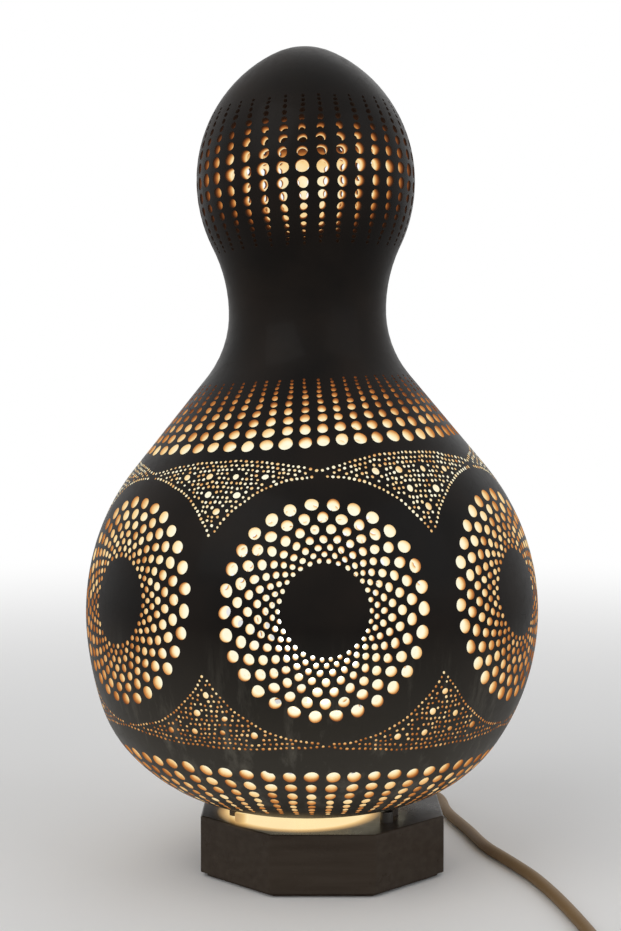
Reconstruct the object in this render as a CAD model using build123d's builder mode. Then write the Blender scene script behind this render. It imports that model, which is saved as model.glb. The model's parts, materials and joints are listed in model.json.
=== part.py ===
from build123d import *
from math import acos, asin, atan2, cos, degrees, hypot, pi, radians, sin, sqrt
import os

os.makedirs("parts", exist_ok=True)

# A table lamp: a drilled bottle gourd stands as a shade over a bulb on an eight-sided base.
# Millimetres, +Z up. The origin is on the table under the middle of the base, and the front looks along -Y.

# Gaps and overruns that all pieces share
fit_gap = 0.3
slip_gap = 0.1
cut_over = 1.0

# Base, its felt foot and its cover
foot_thickness = 2.0
foot_inset = 3.0
base_flats = 112.0
base_thickness = 26.0
base_corner_radius = 2.0
base_rim_radius = 1.0
roof_thickness = 6.0
pocket_radius = 37.0
cover_radius = 49.0
cover_thickness = 3.0
cover_screw_count = 4
cover_screw_radius = 1.75
cover_screw_head_radius = 3.4
cover_screw_length = 11.0

side_count = 8
corner_turn = 180 / side_count
base_bottom = foot_thickness
base_top = base_bottom + base_thickness
pocket_roof = base_top - roof_thickness
cover_top = base_bottom + cover_thickness
cover_screw_circle = (pocket_radius + cover_radius) / 2

# Gourd: a round belly on a heel that turns in to the mouth, a straight shoulder, a neck and a domed lobe
belly_radius = 106.0
heel_angle = 35.0
heel_arc = 68.0
mouth_radius = 45.0
gourd_wall = 4.5
neck_radius = 36.8
neck_rise = 139.2
shoulder_arc_share = 0.685
lobe_radius = 50.9
lobe_rise = 60.6
crown_rise = 62.2
crown_angle = 63.7
belly_offset = -5.0
lean_angle = 0.75
seat_gap = 4.6

# The arcs of the gourd's outline, from the sizes above, about the middle of the belly
heel_turn = radians(heel_angle)
heel_centre = ((belly_radius - heel_arc) * cos(heel_turn), -(belly_radius - heel_arc) * sin(heel_turn))
mouth_depth = sqrt(heel_arc**2 - (mouth_radius - heel_centre[0]) ** 2) - heel_centre[1]
widest_shoulder_arc = (neck_radius**2 + neck_rise**2 - belly_radius**2) / (2 * (belly_radius - neck_radius))
shoulder_arc = shoulder_arc_share * widest_shoulder_arc
shoulder_centre = (neck_radius + shoulder_arc, neck_rise)
shoulder_turn = asin((belly_radius + shoulder_arc) / hypot(*shoulder_centre)) - atan2(*shoulder_centre)
lobe_height = neck_rise + lobe_rise
flare_depth = lobe_radius - neck_radius
flare_arc = (flare_depth**2 + lobe_rise**2) / (4 * flare_depth)
flare_turn = asin(lobe_rise / (2 * flare_arc))
collar_centre = (neck_radius + flare_arc, neck_rise)
lobe_centre = (lobe_radius - flare_arc, lobe_height)
crown_turn = radians(crown_angle)
crown_slope = sin(crown_turn) / cos(crown_turn)
dome_arc = (crown_rise + lobe_radius * (crown_slope - 1 / cos(crown_turn))) / (
    1 + crown_slope - 1 / cos(crown_turn)
)
dome_centre = (lobe_radius - dome_arc, lobe_height)
cap_centre = (0, lobe_height + (dome_arc - lobe_radius) * crown_slope)
cap_arc = dome_arc - (dome_arc - lobe_radius) / cos(crown_turn)

# Where the leaning gourd stands over the base
lean = radians(lean_angle)
belly_height = base_top + seat_gap + mouth_depth * cos(lean)
mouth_x = belly_offset + mouth_depth * sin(lean)
gourd_place = Plane(
    origin=(belly_offset, 0, belly_height), x_dir=(cos(lean), 0, sin(lean)), z_dir=(-sin(lean), 0, cos(lean))
)

# Drilled rows: each row's holes are smaller than the last row's, and stand closer to it
taper_share = 0.85
row_pitch_share = 1.27
ring_pitch_share = 1.127
medallion_count = 6
medallion_turn = 3.2
medallion_rise = 6.8
medallion_radius = 45.0
medallion_holes = 30
medallion_rings = 5
medallion_hole = 5.7
shoulder_holes = 54
shoulder_rows = 2
shoulder_hole = 5.8
shoulder_row_start = 16.5
shoulder_band_turn = -1.5
heel_holes = 60
heel_rows = 2
heel_hole = 6.0
heel_row_start = 1.8
heel_band_turn = -0.6
lobe_holes = 36
lobe_rows = 2
lobe_hole = 5.9
lobe_band_turn = -1.4
drill_depth = gourd_wall + 3 * cut_over
drill_over = 3 * cut_over

# Spacer pads under the gourd's rim and the pegs that keep it in the middle
pad_count = 4
pad_radius = 3.0
pad_outset = 1.5
peg_count = 3
peg_radius = 3.0
peg_sink = 5.0
peg_clearance = 0.5
peg_height = 10.0
peg_circle = mouth_radius - peg_radius - peg_clearance
pad_circle = mouth_radius + pad_outset

# Threaded tube that holds the lamp holder on the base, with its nuts
nipple_radius = 5.0
nipple_bore = 3.5
nipple_tail = 1.5
nut_flats = 14.0
nut_thickness = 4.0
washer_radius = 9.0
washer_thickness = 1.0
nut_sides = 6
washer_bottom = pocket_roof - washer_thickness
lower_nut_bottom = washer_bottom - nut_thickness
nipple_bottom = lower_nut_bottom - nipple_tail
holder_bottom = base_top + nut_thickness

# Lamp holder
holder_radius = 14.0
holder_wall = 1.5
holder_floor = 4.0
holder_height = 42.0
holder_mouth_gap = 2.0
core_floor_thickness = 3.0
core_cavity_radius = 9.0
sleeve_wall = 0.45
thread_gap = 0.35
contact_width = 4.0
contact_thickness = 0.5
rivet_radius = 1.2
rivet_spread = 5.5
bulb_cap_radius = 7.0
cap_height = 19.0
cap_wall = 1.1
insulator_height = 3.0
contact_radius = 2.4
contact_height = 1.5
bulb_contact_gap = 0.35
tongue_rise = 3.65
holder_top = holder_bottom + holder_height
core_bottom = holder_bottom + holder_floor
sleeve_radius = bulb_cap_radius + thread_gap + sleeve_wall
core_radius = holder_radius - holder_wall - fit_gap

# Bulb, from its contact up
bulb_bottom = holder_top + holder_mouth_gap - cap_height - insulator_height - contact_height
core_floor_top = bulb_bottom - bulb_contact_gap - tongue_rise - contact_thickness
core_floor_bottom = core_floor_top - core_floor_thickness
insulator_bottom = bulb_bottom + contact_height
cap_bottom = insulator_bottom + insulator_height
cap_top = cap_bottom + cap_height
ball_radius = 22.5
glass_wall = 0.8
glass_neck_arc = 14.0
ball_rise = 34.0
ball_height = cap_top + ball_rise
thread_ridges = 5
thread_pitch = 2.82
thread_depth = 0.5
stem_radius = 2.0
stem_foot_thickness = 0.8
stem_height = 28.0
filament_count = 4
filament_radius = 0.8
filament_spread = 6.0
filament_length = 17.0
filament_plate_thickness = 0.6
cap_inner_radius = bulb_cap_radius - cap_wall
glass_inner_neck = bulb_cap_radius - glass_wall

# Cord, its bushing in the rear wall and its clamp in the pocket
cord_radius = 2.75
cord_exit_height = 13.0
bushing_radius = 5.0
bushing_lip = 1.5
bushing_flange_radius = 7.5
bushing_flange_thickness = 2.0
bushing_root_radius = 4.6
bushing_tip_radius = 3.6
bushing_taper_length = 23.0
clamp_width = 24.0
clamp_depth = 7.0
clamp_thickness = 2.5
clamp_y = 31.5
clamp_screw_radius = 1.4
clamp_screw_head_radius = 2.6
clamp_screw_head_height = 1.7
clamp_screw_spread = 8.5
clamp_screw_bite = 5.0
bushing_inner_y = pocket_radius - bushing_lip
bushing_flange_y = base_flats / 2 + bushing_flange_thickness
cord_start_y = bushing_flange_y + bushing_taper_length
boss_bottom = cord_exit_height + cord_radius + slip_gap
clamp_top = cord_exit_height - cord_radius - slip_gap

# Terminal block and the two leads up to the holder
block_width = 20.0
block_depth = 14.0
block_height = 13.5
block_front_y = 10.5
block_edge = 0.6
terminal_screw_radius = 1.6
terminal_screw_length = 4.0
terminal_screw_sink = 1.0
terminal_spread = 4.0
lead_radius = 0.9
lead_spread = 1.7
lead_height = 10.0
lead_bend_y = 3.5
lead_rise = 4.0
lead_shoulder = 4.2
block_bottom = pocket_roof - block_height
block_y = block_front_y + block_depth / 2

# Hand switch on the cord
switch_x = 21.0
switch_y = -172.0
switch_length = 60.0
switch_width = 27.0
switch_height = 19.0
switch_corner_radius = 10.0
switch_edge_radius = 2.5
switch_wall = 2.0
switch_axis_height = 9.0
guard_length = 11.0
guard_root_radius = 4.4
guard_tip_radius = 3.5
guard_head_radius = 5.6
guard_head_thickness = 2.0
rocker_half_length = 11.0
rocker_width = 10.0
rocker_angle = 9.0
rocker_crest = 2.0
rocker_skirt = 1.0
rocker_hub = 3.2
rocker_gap = 0.45
pivot_radius = 1.2
pivot_drop = 4.0
cheek_thickness = 2.5
cheek_half_length = 2.8
post_radius = 3.2
post_spread = 21.0
case_screw_radius = 1.3
case_screw_head_radius = 2.4
case_screw_head_height = 1.6
case_screw_bite = 5.0
terminal_length = 8.0
terminal_width = 5.0
terminal_height = 4.0
terminal_x_spread = 12.0
switch_pivot_height = switch_height - pivot_drop
guard_hole_radius = guard_root_radius + slip_gap
rocker_turn = radians(rocker_angle)
cheek_y = (rocker_width + cheek_thickness) / 2 + rocker_gap

# Coil: the length of cord that is put away, wound in two layers
coil_x = -66.0
coil_outer_radius = 40.0
coil_half_turns = 5
coil_pitch = 6.0
layer_rise = 6.0
coil_top_y = switch_y
coil_lead = 2 * cord_radius

# Plug with two round pins
plug_width = 35.3
plug_thickness = 13.7
plug_length = 26.0
plug_straight = 15.0
plug_rear_width = 13.0
plug_rear_thickness = 9.5
plug_tail_length = 14.0
plug_tail_radius = 3.4
plug_tail_start_x = -24.0
pin_radius = 2.0
pin_length = 19.0
pin_spread = 18.6
pin_tip_edge = 0.7

# The route of the cord from the bushing to the switch, from the switch to the coil, and on to the plug
switch_right_x = switch_x + switch_length / 2 + guard_length
switch_left_x = switch_x - switch_length / 2 - guard_length
lamp_cord_route = [
    (0, cord_start_y, cord_exit_height),
    (0, 97, 12.5),
    (1.5, 110.5, 10.8),
    (9.5, 124.5, 8.2),
    (24.5, 133.5, 5.6),
    (42.5, 133.8, 3.6),
    (57.5, 125, cord_radius),
    (66, 109, cord_radius),
    (65.5, 82, cord_radius),
    (74.5, 44, cord_radius),
    (79, 16, cord_radius),
    (86, -3, cord_radius),
    (91, -18, cord_radius),
    (97, -37, cord_radius),
    (102.8, -68, cord_radius),
    (107, -99, cord_radius),
    (109.2, -121, cord_radius),
    (109.5, -139, cord_radius),
    (103.3, -154.2, 3.6),
    (91.7, -165.8, 6),
    (76.7, switch_y, switch_axis_height),
    (switch_right_x, switch_y, switch_axis_height),
]
switch_cord_route = [
    (switch_left_x, switch_y, switch_axis_height),
    (-30, switch_y, switch_axis_height),
    (-40.2, switch_y, 6),
    (-50.6, switch_y, cord_radius),
    (coil_x + coil_lead, coil_top_y, cord_radius),
]


def around(centre, radius, angle):
    return (centre[0] + radius * cos(angle), centre[1] + radius * sin(angle))


def arc(centre, radius, start, end):
    middle = (start + end) / 2
    return ThreePointArc(around(centre, radius, start), around(centre, radius, middle), around(centre, radius, end))


# The gourd's outline from the mouth to the top, moved inwards by an inset
def gourd_outline(inset):
    heel = heel_arc - inset
    belly = belly_radius - inset
    waist = shoulder_arc + inset
    dome = dome_arc - inset
    mouth_turn = -acos((mouth_radius - heel_centre[0]) / heel)
    first = arc(heel_centre, heel, mouth_turn, -heel_turn)
    CenterArc((0, 0), belly, -heel_angle, heel_angle + degrees(shoulder_turn))
    Line(around((0, 0), belly, shoulder_turn), around(shoulder_centre, waist, pi + shoulder_turn))
    arc(shoulder_centre, waist, pi + shoulder_turn, pi)
    arc(collar_centre, flare_arc + inset, pi, pi - flare_turn)
    arc(lobe_centre, flare_arc - inset, -flare_turn, 0)
    arc(dome_centre, dome, 0, crown_turn)
    last = CenterArc(cap_centre, cap_arc - inset, crown_angle, 90 - crown_angle)
    return first @ 0, last @ 1


# One drill, which stands square to the gourd's surface at a point
def drill(width, point, outward):
    start = point - outward * drill_depth
    return Solid.make_cylinder(width / 2, drill_depth + drill_over, Plane(origin=start, z_dir=outward))


# How far each row of a band lies from its first row, and how wide its holes are
def tapering_rows(first_width, row_count, pitch_share):
    rows = [(0, first_width)]
    for _ in range(row_count - 1):
        distance, width = rows[-1]
        next_width = width * taper_share
        rows.append((distance + pitch_share * (width + next_width) / 2, next_width))
    return rows


# A level row of drills round the gourd, where its surface has this radius, height and slope
def drill_row(count, first_turn, radius, height, slope, width):
    drills = []
    for step in range(count):
        angle = radians(first_turn + 360 * step / count - 90)
        outward = Vector(cos(slope) * cos(angle), cos(slope) * sin(angle), sin(slope))
        drills.append(drill(width, Vector(radius * cos(angle), radius * sin(angle), height), outward))
    return drills


def medallion_drills():
    drills = []
    rise = radians(medallion_rise)
    rings = tapering_rows(medallion_hole, medallion_rings, ring_pitch_share)
    for medallion in range(medallion_count):
        angle = radians(medallion_turn + 360 * medallion / medallion_count - 90)
        middle = Vector(cos(rise) * cos(angle), cos(rise) * sin(angle), sin(rise))
        across = Vector(-sin(angle), cos(angle), 0)
        upward = middle.cross(across)
        for ring, (inset, width) in enumerate(rings):
            spread = (medallion_radius - inset) / belly_radius
            for step in range(medallion_holes):
                turn = 2 * pi * (step + ring % 2 / 2) / medallion_holes
                sideways = across * cos(turn) + upward * sin(turn)
                outward = middle * cos(spread) + sideways * sin(spread)
                drills.append(drill(width, outward * belly_radius, outward))
    return drills


def shoulder_drills():
    drills = []
    foot_radius, foot_height = around((0, 0), belly_radius, shoulder_turn)
    for distance, width in tapering_rows(shoulder_hole, shoulder_rows, row_pitch_share):
        along = shoulder_row_start + distance
        radius = foot_radius - along * sin(shoulder_turn)
        height = foot_height + along * cos(shoulder_turn)
        drills += drill_row(shoulder_holes, shoulder_band_turn, radius, height, shoulder_turn, width)
    return drills


def heel_drills():
    drills = []
    for distance, width in tapering_rows(heel_hole, heel_rows, row_pitch_share):
        turn = heel_turn + (heel_row_start + distance) / heel_arc
        radius, height = around(heel_centre, heel_arc, -turn)
        drills += drill_row(heel_holes, heel_band_turn, radius, height, -turn, width)
    return drills


def lobe_drills():
    drills = []
    for distance, width in tapering_rows(lobe_hole, lobe_rows, row_pitch_share):
        turn = distance / flare_arc
        radius, height = around(lobe_centre, flare_arc, -turn)
        drills += drill_row(lobe_holes, lobe_band_turn, radius, height, -turn, width)
        if distance > 0:
            turn = distance / dome_arc
            radius, height = around(dome_centre, dome_arc, turn)
            drills += drill_row(lobe_holes, lobe_band_turn, radius, height, turn, width)
    return drills


# The gourd is drilled while it stands upright about its own middle, and set down leaning afterwards
drills = medallion_drills() + shoulder_drills() + heel_drills() + lobe_drills()
with BuildPart() as upright_gourd:
    with BuildSketch(Plane.XZ):
        with BuildLine():
            outer_mouth, outer_top = gourd_outline(0)
            inner_mouth, inner_top = gourd_outline(gourd_wall)
            Line(outer_mouth, inner_mouth)
            Line(outer_top, inner_top)
        make_face()
    revolve(axis=Axis.Z)
    add(drills, mode=Mode.SUBTRACT, clean=False)
with BuildPart() as gourd_shell:
    with Locations(gourd_place.location):
        add(upright_gourd.part, clean=False)
print("holes drilled in the gourd:", len(drills))

with BuildPart() as foot_pad:
    with BuildSketch():
        RegularPolygon(base_flats / 2 - foot_inset, side_count, major_radius=False, rotation=corner_turn)
    extrude(amount=foot_thickness)

with BuildPart() as octagonal_base:
    with BuildSketch(Plane.XY.offset(base_bottom)):
        RegularPolygon(base_flats / 2, side_count, major_radius=False, rotation=corner_turn)
    extrude(amount=base_thickness)
    fillet(octagonal_base.edges().filter_by(Axis.Z), base_corner_radius)
    fillet(octagonal_base.faces().sort_by(Axis.Z)[-1].edges(), base_rim_radius)
    with BuildSketch(Plane.XY.offset(base_bottom)):
        Circle(cover_radius + fit_gap)
    extrude(amount=cover_thickness, mode=Mode.SUBTRACT)
    with BuildSketch(Plane.XY.offset(cover_top)):
        Circle(pocket_radius)
    extrude(amount=pocket_roof - cover_top, mode=Mode.SUBTRACT)
    with BuildSketch(Plane.XY.offset(boss_bottom)):
        with Locations((0, clamp_y)):
            Rectangle(clamp_width, clamp_depth)
    extrude(amount=pocket_roof - boss_bottom)
    with BuildSketch(Plane.XY.offset(pocket_roof)):
        Circle(nipple_radius + fit_gap)
    extrude(amount=roof_thickness, mode=Mode.SUBTRACT)
    with BuildSketch(Plane.XY.offset(cover_top)):
        with PolarLocations(cover_screw_circle, cover_screw_count, start_angle=360 / cover_screw_count / 2):
            Circle(cover_screw_radius + slip_gap)
    extrude(amount=cover_screw_length - cover_thickness + cut_over, mode=Mode.SUBTRACT)
    with BuildSketch(Plane.XY.offset(boss_bottom)):
        with Locations((clamp_screw_spread, clamp_y), (-clamp_screw_spread, clamp_y)):
            Circle(clamp_screw_radius + slip_gap)
    extrude(amount=clamp_screw_bite + slip_gap, mode=Mode.SUBTRACT)
    with BuildSketch(Plane.XY.offset(base_top - peg_sink)):
        with Locations((mouth_x, 0)):
            with PolarLocations(peg_circle, peg_count, start_angle=90):
                Circle(peg_radius + slip_gap)
    extrude(amount=peg_sink, mode=Mode.SUBTRACT)
    with BuildSketch(Plane.XZ.offset(-base_flats / 2)):
        with Locations((0, cord_exit_height)):
            Circle(bushing_radius + slip_gap)
    extrude(amount=base_flats / 2 - bushing_inner_y, mode=Mode.SUBTRACT)

with BuildPart() as base_cover:
    with BuildSketch(Plane.XY.offset(base_bottom)):
        Circle(cover_radius)
    extrude(amount=cover_thickness)
    with Locations(Plane(origin=(0, 0, base_bottom), z_dir=(0, 0, -1))):
        with PolarLocations(cover_screw_circle, cover_screw_count, start_angle=360 / cover_screw_count / 2):
            CounterSinkHole(
                cover_screw_radius + slip_gap, cover_screw_head_radius + slip_gap, cover_thickness, 90
            )

with BuildPart() as cover_screws:
    with PolarLocations(cover_screw_circle, cover_screw_count, start_angle=360 / cover_screw_count / 2):
        with Locations((0, 0, base_bottom)):
            Cylinder(cover_screw_radius, cover_screw_length, align=(Align.CENTER, Align.CENTER, Align.MIN))
            Cone(
                cover_screw_head_radius,
                cover_screw_radius,
                cover_screw_head_radius - cover_screw_radius,
                align=(Align.CENTER, Align.CENTER, Align.MIN),
            )

with BuildPart() as spacer_pads:
    for step in range(pad_count):
        pad_turn = radians(360 * (step + 1 / 2) / pad_count)
        pad_x = pad_circle * cos(pad_turn)
        pad_top = base_top + seat_gap - fit_gap + (pad_x - pad_radius) * sin(lean)
        with BuildSketch(Plane.XY.offset(base_top)):
            with Locations((mouth_x + pad_x, pad_circle * sin(pad_turn))):
                Circle(pad_radius)
        extrude(amount=pad_top - base_top)

with BuildPart() as locating_pegs:
    with BuildSketch(Plane.XY.offset(base_top - peg_sink)):
        with Locations((mouth_x, 0)):
            with PolarLocations(peg_circle, peg_count, start_angle=90):
                Circle(peg_radius)
    extrude(amount=peg_sink + peg_height)
    chamfer(locating_pegs.faces().group_by(Axis.Z)[-1].edges(), peg_radius / 4)

with BuildPart() as holder_nipple:
    with BuildSketch(Plane.XY.offset(nipple_bottom)):
        Circle(nipple_radius)
        Circle(nipple_bore, mode=Mode.SUBTRACT)
    extrude(amount=core_bottom - nipple_bottom)

with BuildPart() as nipple_nuts:
    for nut_bottom in (lower_nut_bottom, base_top):
        with BuildSketch(Plane.XY.offset(nut_bottom)):
            RegularPolygon(nut_flats / 2, nut_sides, major_radius=False)
            Circle(nipple_radius + slip_gap, mode=Mode.SUBTRACT)
        extrude(amount=nut_thickness)

with BuildPart() as nipple_washer:
    with BuildSketch(Plane.XY.offset(washer_bottom)):
        Circle(washer_radius)
        Circle(nipple_radius + slip_gap, mode=Mode.SUBTRACT)
    extrude(amount=washer_thickness)

with BuildPart() as lamp_holder_shell:
    with BuildSketch(Plane.XZ):
        with BuildLine():
            Polyline(
                (nipple_radius + slip_gap, holder_bottom),
                (holder_radius, holder_bottom),
                (holder_radius, holder_top),
                (holder_radius - holder_wall, holder_top),
                (holder_radius - holder_wall, core_bottom),
                (nipple_radius + slip_gap, core_bottom),
                close=True,
            )
        make_face()
    revolve(axis=Axis.Z)
    fillet(lamp_holder_shell.edges().group_by(Axis.Z)[0].sort_by(SortBy.RADIUS)[-1], holder_floor / 2)

with BuildPart() as holder_core:
    with BuildSketch(Plane.XZ):
        with BuildLine():
            Polyline(
                (0, core_floor_bottom),
                (core_cavity_radius, core_floor_bottom),
                (core_cavity_radius, core_bottom),
                (core_radius, core_bottom),
                (core_radius, holder_top),
                (sleeve_radius + slip_gap, holder_top),
                (sleeve_radius + slip_gap, core_floor_top),
                (0, core_floor_top),
                close=True,
            )
        make_face()
    revolve(axis=Axis.Z)
    with BuildSketch(Plane.XY.offset(core_floor_bottom)):
        with Locations((rivet_spread, 0), (-rivet_spread, 0)):
            Circle(rivet_radius + slip_gap)
    extrude(amount=core_floor_thickness, mode=Mode.SUBTRACT)

with BuildPart() as holder_rivets:
    with BuildSketch(Plane.XY.offset(core_floor_bottom)):
        with Locations((rivet_spread, 0), (-rivet_spread, 0)):
            Circle(rivet_radius)
    extrude(amount=core_floor_thickness)

sleeve_foot = sleeve_radius - rivet_spread + rivet_radius
with BuildPart() as holder_sleeve:
    with BuildSketch(Plane.XY.offset(core_floor_top)):
        Circle(sleeve_radius)
        Circle(sleeve_radius - sleeve_wall, mode=Mode.SUBTRACT)
    extrude(amount=holder_top - core_floor_top - fit_gap)
    with BuildSketch(Plane.XY.offset(core_floor_top)):
        with Locations((-rivet_spread, 0)):
            Rectangle(2 * rivet_radius, contact_width)
        with Locations((sleeve_foot / 2 - sleeve_radius + sleeve_wall / 2, 0)):
            Rectangle(sleeve_foot - sleeve_wall, contact_width)
    extrude(amount=contact_thickness)

with BuildPart() as holder_contact:
    with BuildSketch(Plane.XZ):
        with BuildLine(mode=Mode.PRIVATE) as tongue:
            Polyline(
                (rivet_spread + rivet_radius, core_floor_top + contact_thickness / 2),
                (rivet_spread - rivet_radius, core_floor_top + contact_thickness / 2),
                (-contact_radius, core_floor_top + tongue_rise + contact_thickness / 2),
            )
        trace(tongue.edges(), line_width=contact_thickness)
    extrude(amount=contact_width / 2, both=True)

with BuildPart() as bulb_contact:
    with BuildSketch(Plane.XY.offset(bulb_bottom)):
        Circle(contact_radius)
    extrude(amount=contact_height)
    chamfer(bulb_contact.faces().sort_by(Axis.Z)[0].edges(), contact_height / 3)

with BuildPart() as bulb_insulator:
    with Locations((0, 0, insulator_bottom)):
        Cone(
            contact_radius + slip_gap,
            (cap_inner_radius + bulb_cap_radius - thread_depth) / 2,
            insulator_height,
            align=(Align.CENTER, Align.CENTER, Align.MIN),
        )

with BuildPart() as bulb_cap:
    with BuildSketch(Plane.XZ):
        with BuildLine():
            ridge_line = [(cap_inner_radius, cap_bottom)]
            for ridge in range(thread_ridges):
                ridge_foot = cap_bottom + ridge * thread_pitch
                ridge_line.append((bulb_cap_radius - thread_depth, ridge_foot))
                ridge_line.append((bulb_cap_radius, ridge_foot + thread_pitch / 2))
            ridge_line.append((bulb_cap_radius - thread_depth, cap_bottom + thread_ridges * thread_pitch))
            ridge_line.append((bulb_cap_radius, cap_top - thread_pitch / 2))
            ridge_line.append((bulb_cap_radius, cap_top))
            ridge_line.append((cap_inner_radius, cap_top))
            Polyline(*ridge_line, close=True)
        make_face()
    revolve(axis=Axis.Z)


# The bulb's outline from its cap to its top, moved inwards by an inset
def glass_outline(inset):
    neck = bulb_cap_radius - inset
    bend = glass_neck_arc + inset
    ball = ball_radius - inset
    bend_drop = sqrt((ball + bend) ** 2 - (neck + bend) ** 2)
    bend_centre = (neck + bend, ball_height - bend_drop)
    bend_turn = atan2(bend_drop, neck + bend)
    first = Line((neck, cap_top), (neck, bend_centre[1]))
    arc(bend_centre, bend, pi, pi - bend_turn)
    last = arc((0, ball_height), ball, -bend_turn, pi / 2)
    return first @ 0, last @ 1


with BuildPart() as bulb_glass:
    with BuildSketch(Plane.XZ):
        with BuildLine():
            outer_foot, outer_pole = glass_outline(0)
            inner_foot, inner_pole = glass_outline(glass_wall)
            Line(outer_foot, inner_foot)
            Line(outer_pole, inner_pole)
        make_face()
    revolve(axis=Axis.Z)

with BuildPart() as bulb_stem:
    with BuildSketch(Plane.XY.offset(cap_top)):
        Circle(glass_inner_neck - slip_gap)
    extrude(amount=stem_foot_thickness)
    with BuildSketch(Plane.XY.offset(cap_top)):
        Circle(stem_radius)
    extrude(amount=stem_height)

with BuildPart() as bulb_filaments:
    with BuildSketch(Plane.XY.offset(cap_top + stem_height)):
        Circle(filament_spread + 2 * filament_radius)
    extrude(amount=filament_plate_thickness)
    with BuildSketch(Plane.XY.offset(cap_top + stem_height)):
        with PolarLocations(filament_spread, filament_count):
            Circle(filament_radius)
    extrude(amount=-filament_length)

with BuildPart() as terminal_block:
    with BuildSketch(Plane.XY.offset(block_bottom)):
        with Locations((0, block_y)):
            Rectangle(block_width, block_depth)
    extrude(amount=block_height)
    chamfer(terminal_block.faces().sort_by(Axis.Z)[0].edges(), block_edge)
    with BuildSketch(Plane.XY.offset(block_bottom)):
        with Locations((0, block_y)):
            with GridLocations(2 * terminal_spread, block_depth / 2, 2, 2):
                Circle(terminal_screw_radius + slip_gap)
    extrude(amount=terminal_screw_sink + terminal_screw_length, mode=Mode.SUBTRACT)

with BuildPart() as terminal_screws:
    with BuildSketch(Plane.XY.offset(block_bottom + terminal_screw_sink)):
        with Locations((0, block_y)):
            with GridLocations(2 * terminal_spread, block_depth / 2, 2, 2):
                Circle(terminal_screw_radius)
    extrude(amount=terminal_screw_length)
    with BuildSketch(Plane.XY.offset(block_bottom + terminal_screw_sink)):
        with Locations((0, block_y)):
            with GridLocations(2 * terminal_spread, block_depth / 2, 2, 2):
                Rectangle(3 * terminal_screw_radius, terminal_screw_radius / 2)
    extrude(amount=terminal_screw_length / 4, mode=Mode.SUBTRACT)

with BuildPart() as cord_clamp:
    with BuildSketch(Plane.XY.offset(clamp_top - clamp_thickness)):
        with Locations((0, clamp_y)):
            RectangleRounded(clamp_width, clamp_depth, clamp_depth / 4)
        with Locations((clamp_screw_spread, clamp_y), (-clamp_screw_spread, clamp_y)):
            Circle(clamp_screw_radius + slip_gap, mode=Mode.SUBTRACT)
    extrude(amount=clamp_thickness)

clamp_bottom = clamp_top - clamp_thickness
with BuildPart() as clamp_screws:
    with BuildSketch(Plane.XY.offset(clamp_bottom)):
        with Locations((clamp_screw_spread, clamp_y), (-clamp_screw_spread, clamp_y)):
            Circle(clamp_screw_radius)
    extrude(amount=boss_bottom + clamp_screw_bite - clamp_bottom)
    with BuildSketch(Plane.XY.offset(clamp_bottom)):
        with Locations((clamp_screw_spread, clamp_y), (-clamp_screw_spread, clamp_y)):
            Circle(clamp_screw_head_radius)
    extrude(amount=-clamp_screw_head_height)

with BuildPart() as cord_bushing:
    with BuildSketch(Plane.YZ):
        with BuildLine():
            Polyline(
                (bushing_inner_y, cord_exit_height + cord_radius + slip_gap),
                (bushing_inner_y, cord_exit_height + bushing_radius),
                (base_flats / 2, cord_exit_height + bushing_radius),
                (base_flats / 2, cord_exit_height + bushing_flange_radius),
                (bushing_flange_y, cord_exit_height + bushing_flange_radius),
                (bushing_flange_y, cord_exit_height + bushing_root_radius),
                (cord_start_y, cord_exit_height + bushing_tip_radius),
                (cord_start_y, cord_exit_height + cord_radius + slip_gap),
                close=True,
            )
        make_face()
    revolve(axis=Axis((0, 0, cord_exit_height), (0, 1, 0)))

with BuildPart() as cord_tail:
    with BuildSketch(Plane.XZ.offset(-cord_start_y)):
        with Locations((0, cord_exit_height)):
            Circle(cord_radius)
    extrude(amount=cord_start_y - block_front_y - block_depth)


# The radius of each rounded corner on a route: as large as the runs beside it allow
def corner_radii(route):
    radii = []
    corner_share = 0.45
    for before, corner, after in zip(route, route[1:], route[2:]):
        run_in = Vector(*corner) - Vector(*before)
        run_out = Vector(*after) - Vector(*corner)
        half_turn = radians(run_in.get_angle(run_out)) / 2
        radii.append(corner_share * min(run_in.length, run_out.length) * cos(half_turn) / sin(half_turn))
    return radii


# A tube's label, length, tightest corner, and how its volume compares with its section times its length
def report_tube(label, tube, radius, line, radii):
    drawn = pi * radius**2 * line.length
    print(label, "length", round(line.length, 1), "tightest radius", round(min(radii), 1))
    print(label, "radii", [round(value, 1) for value in radii])
    print(label, "volume over section times length", round(tube.part.volume / drawn, 4))


lead_routes = {}
for side, name in ((1, "live"), (-1, "neutral")):
    lead_routes[name] = [
        (side * terminal_spread, block_front_y, lead_height),
        (side * terminal_spread, lead_bend_y, lead_height),
        (side * lead_spread, 0, lead_height + lead_rise),
        (side * lead_spread, 0, core_bottom - slip_gap),
        (side * rivet_spread, 0, core_floor_bottom - lead_shoulder),
        (side * rivet_spread, 0, core_floor_bottom),
    ]

with BuildPart() as live_lead:
    with BuildLine() as live_line:
        FilletPolyline(*lead_routes["live"], radius=corner_radii(lead_routes["live"]))
    with BuildSketch(Plane(origin=live_line.wire() @ 0, z_dir=live_line.wire() % 0)):
        Circle(lead_radius)
    sweep(path=live_line.wire())
report_tube("live_lead", live_lead, lead_radius, live_line.wire(), corner_radii(lead_routes["live"]))

with BuildPart() as neutral_lead:
    with BuildLine() as neutral_line:
        FilletPolyline(*lead_routes["neutral"], radius=corner_radii(lead_routes["neutral"]))
    with BuildSketch(Plane(origin=neutral_line.wire() @ 0, z_dir=neutral_line.wire() % 0)):
        Circle(lead_radius)
    sweep(path=neutral_line.wire())

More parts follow.
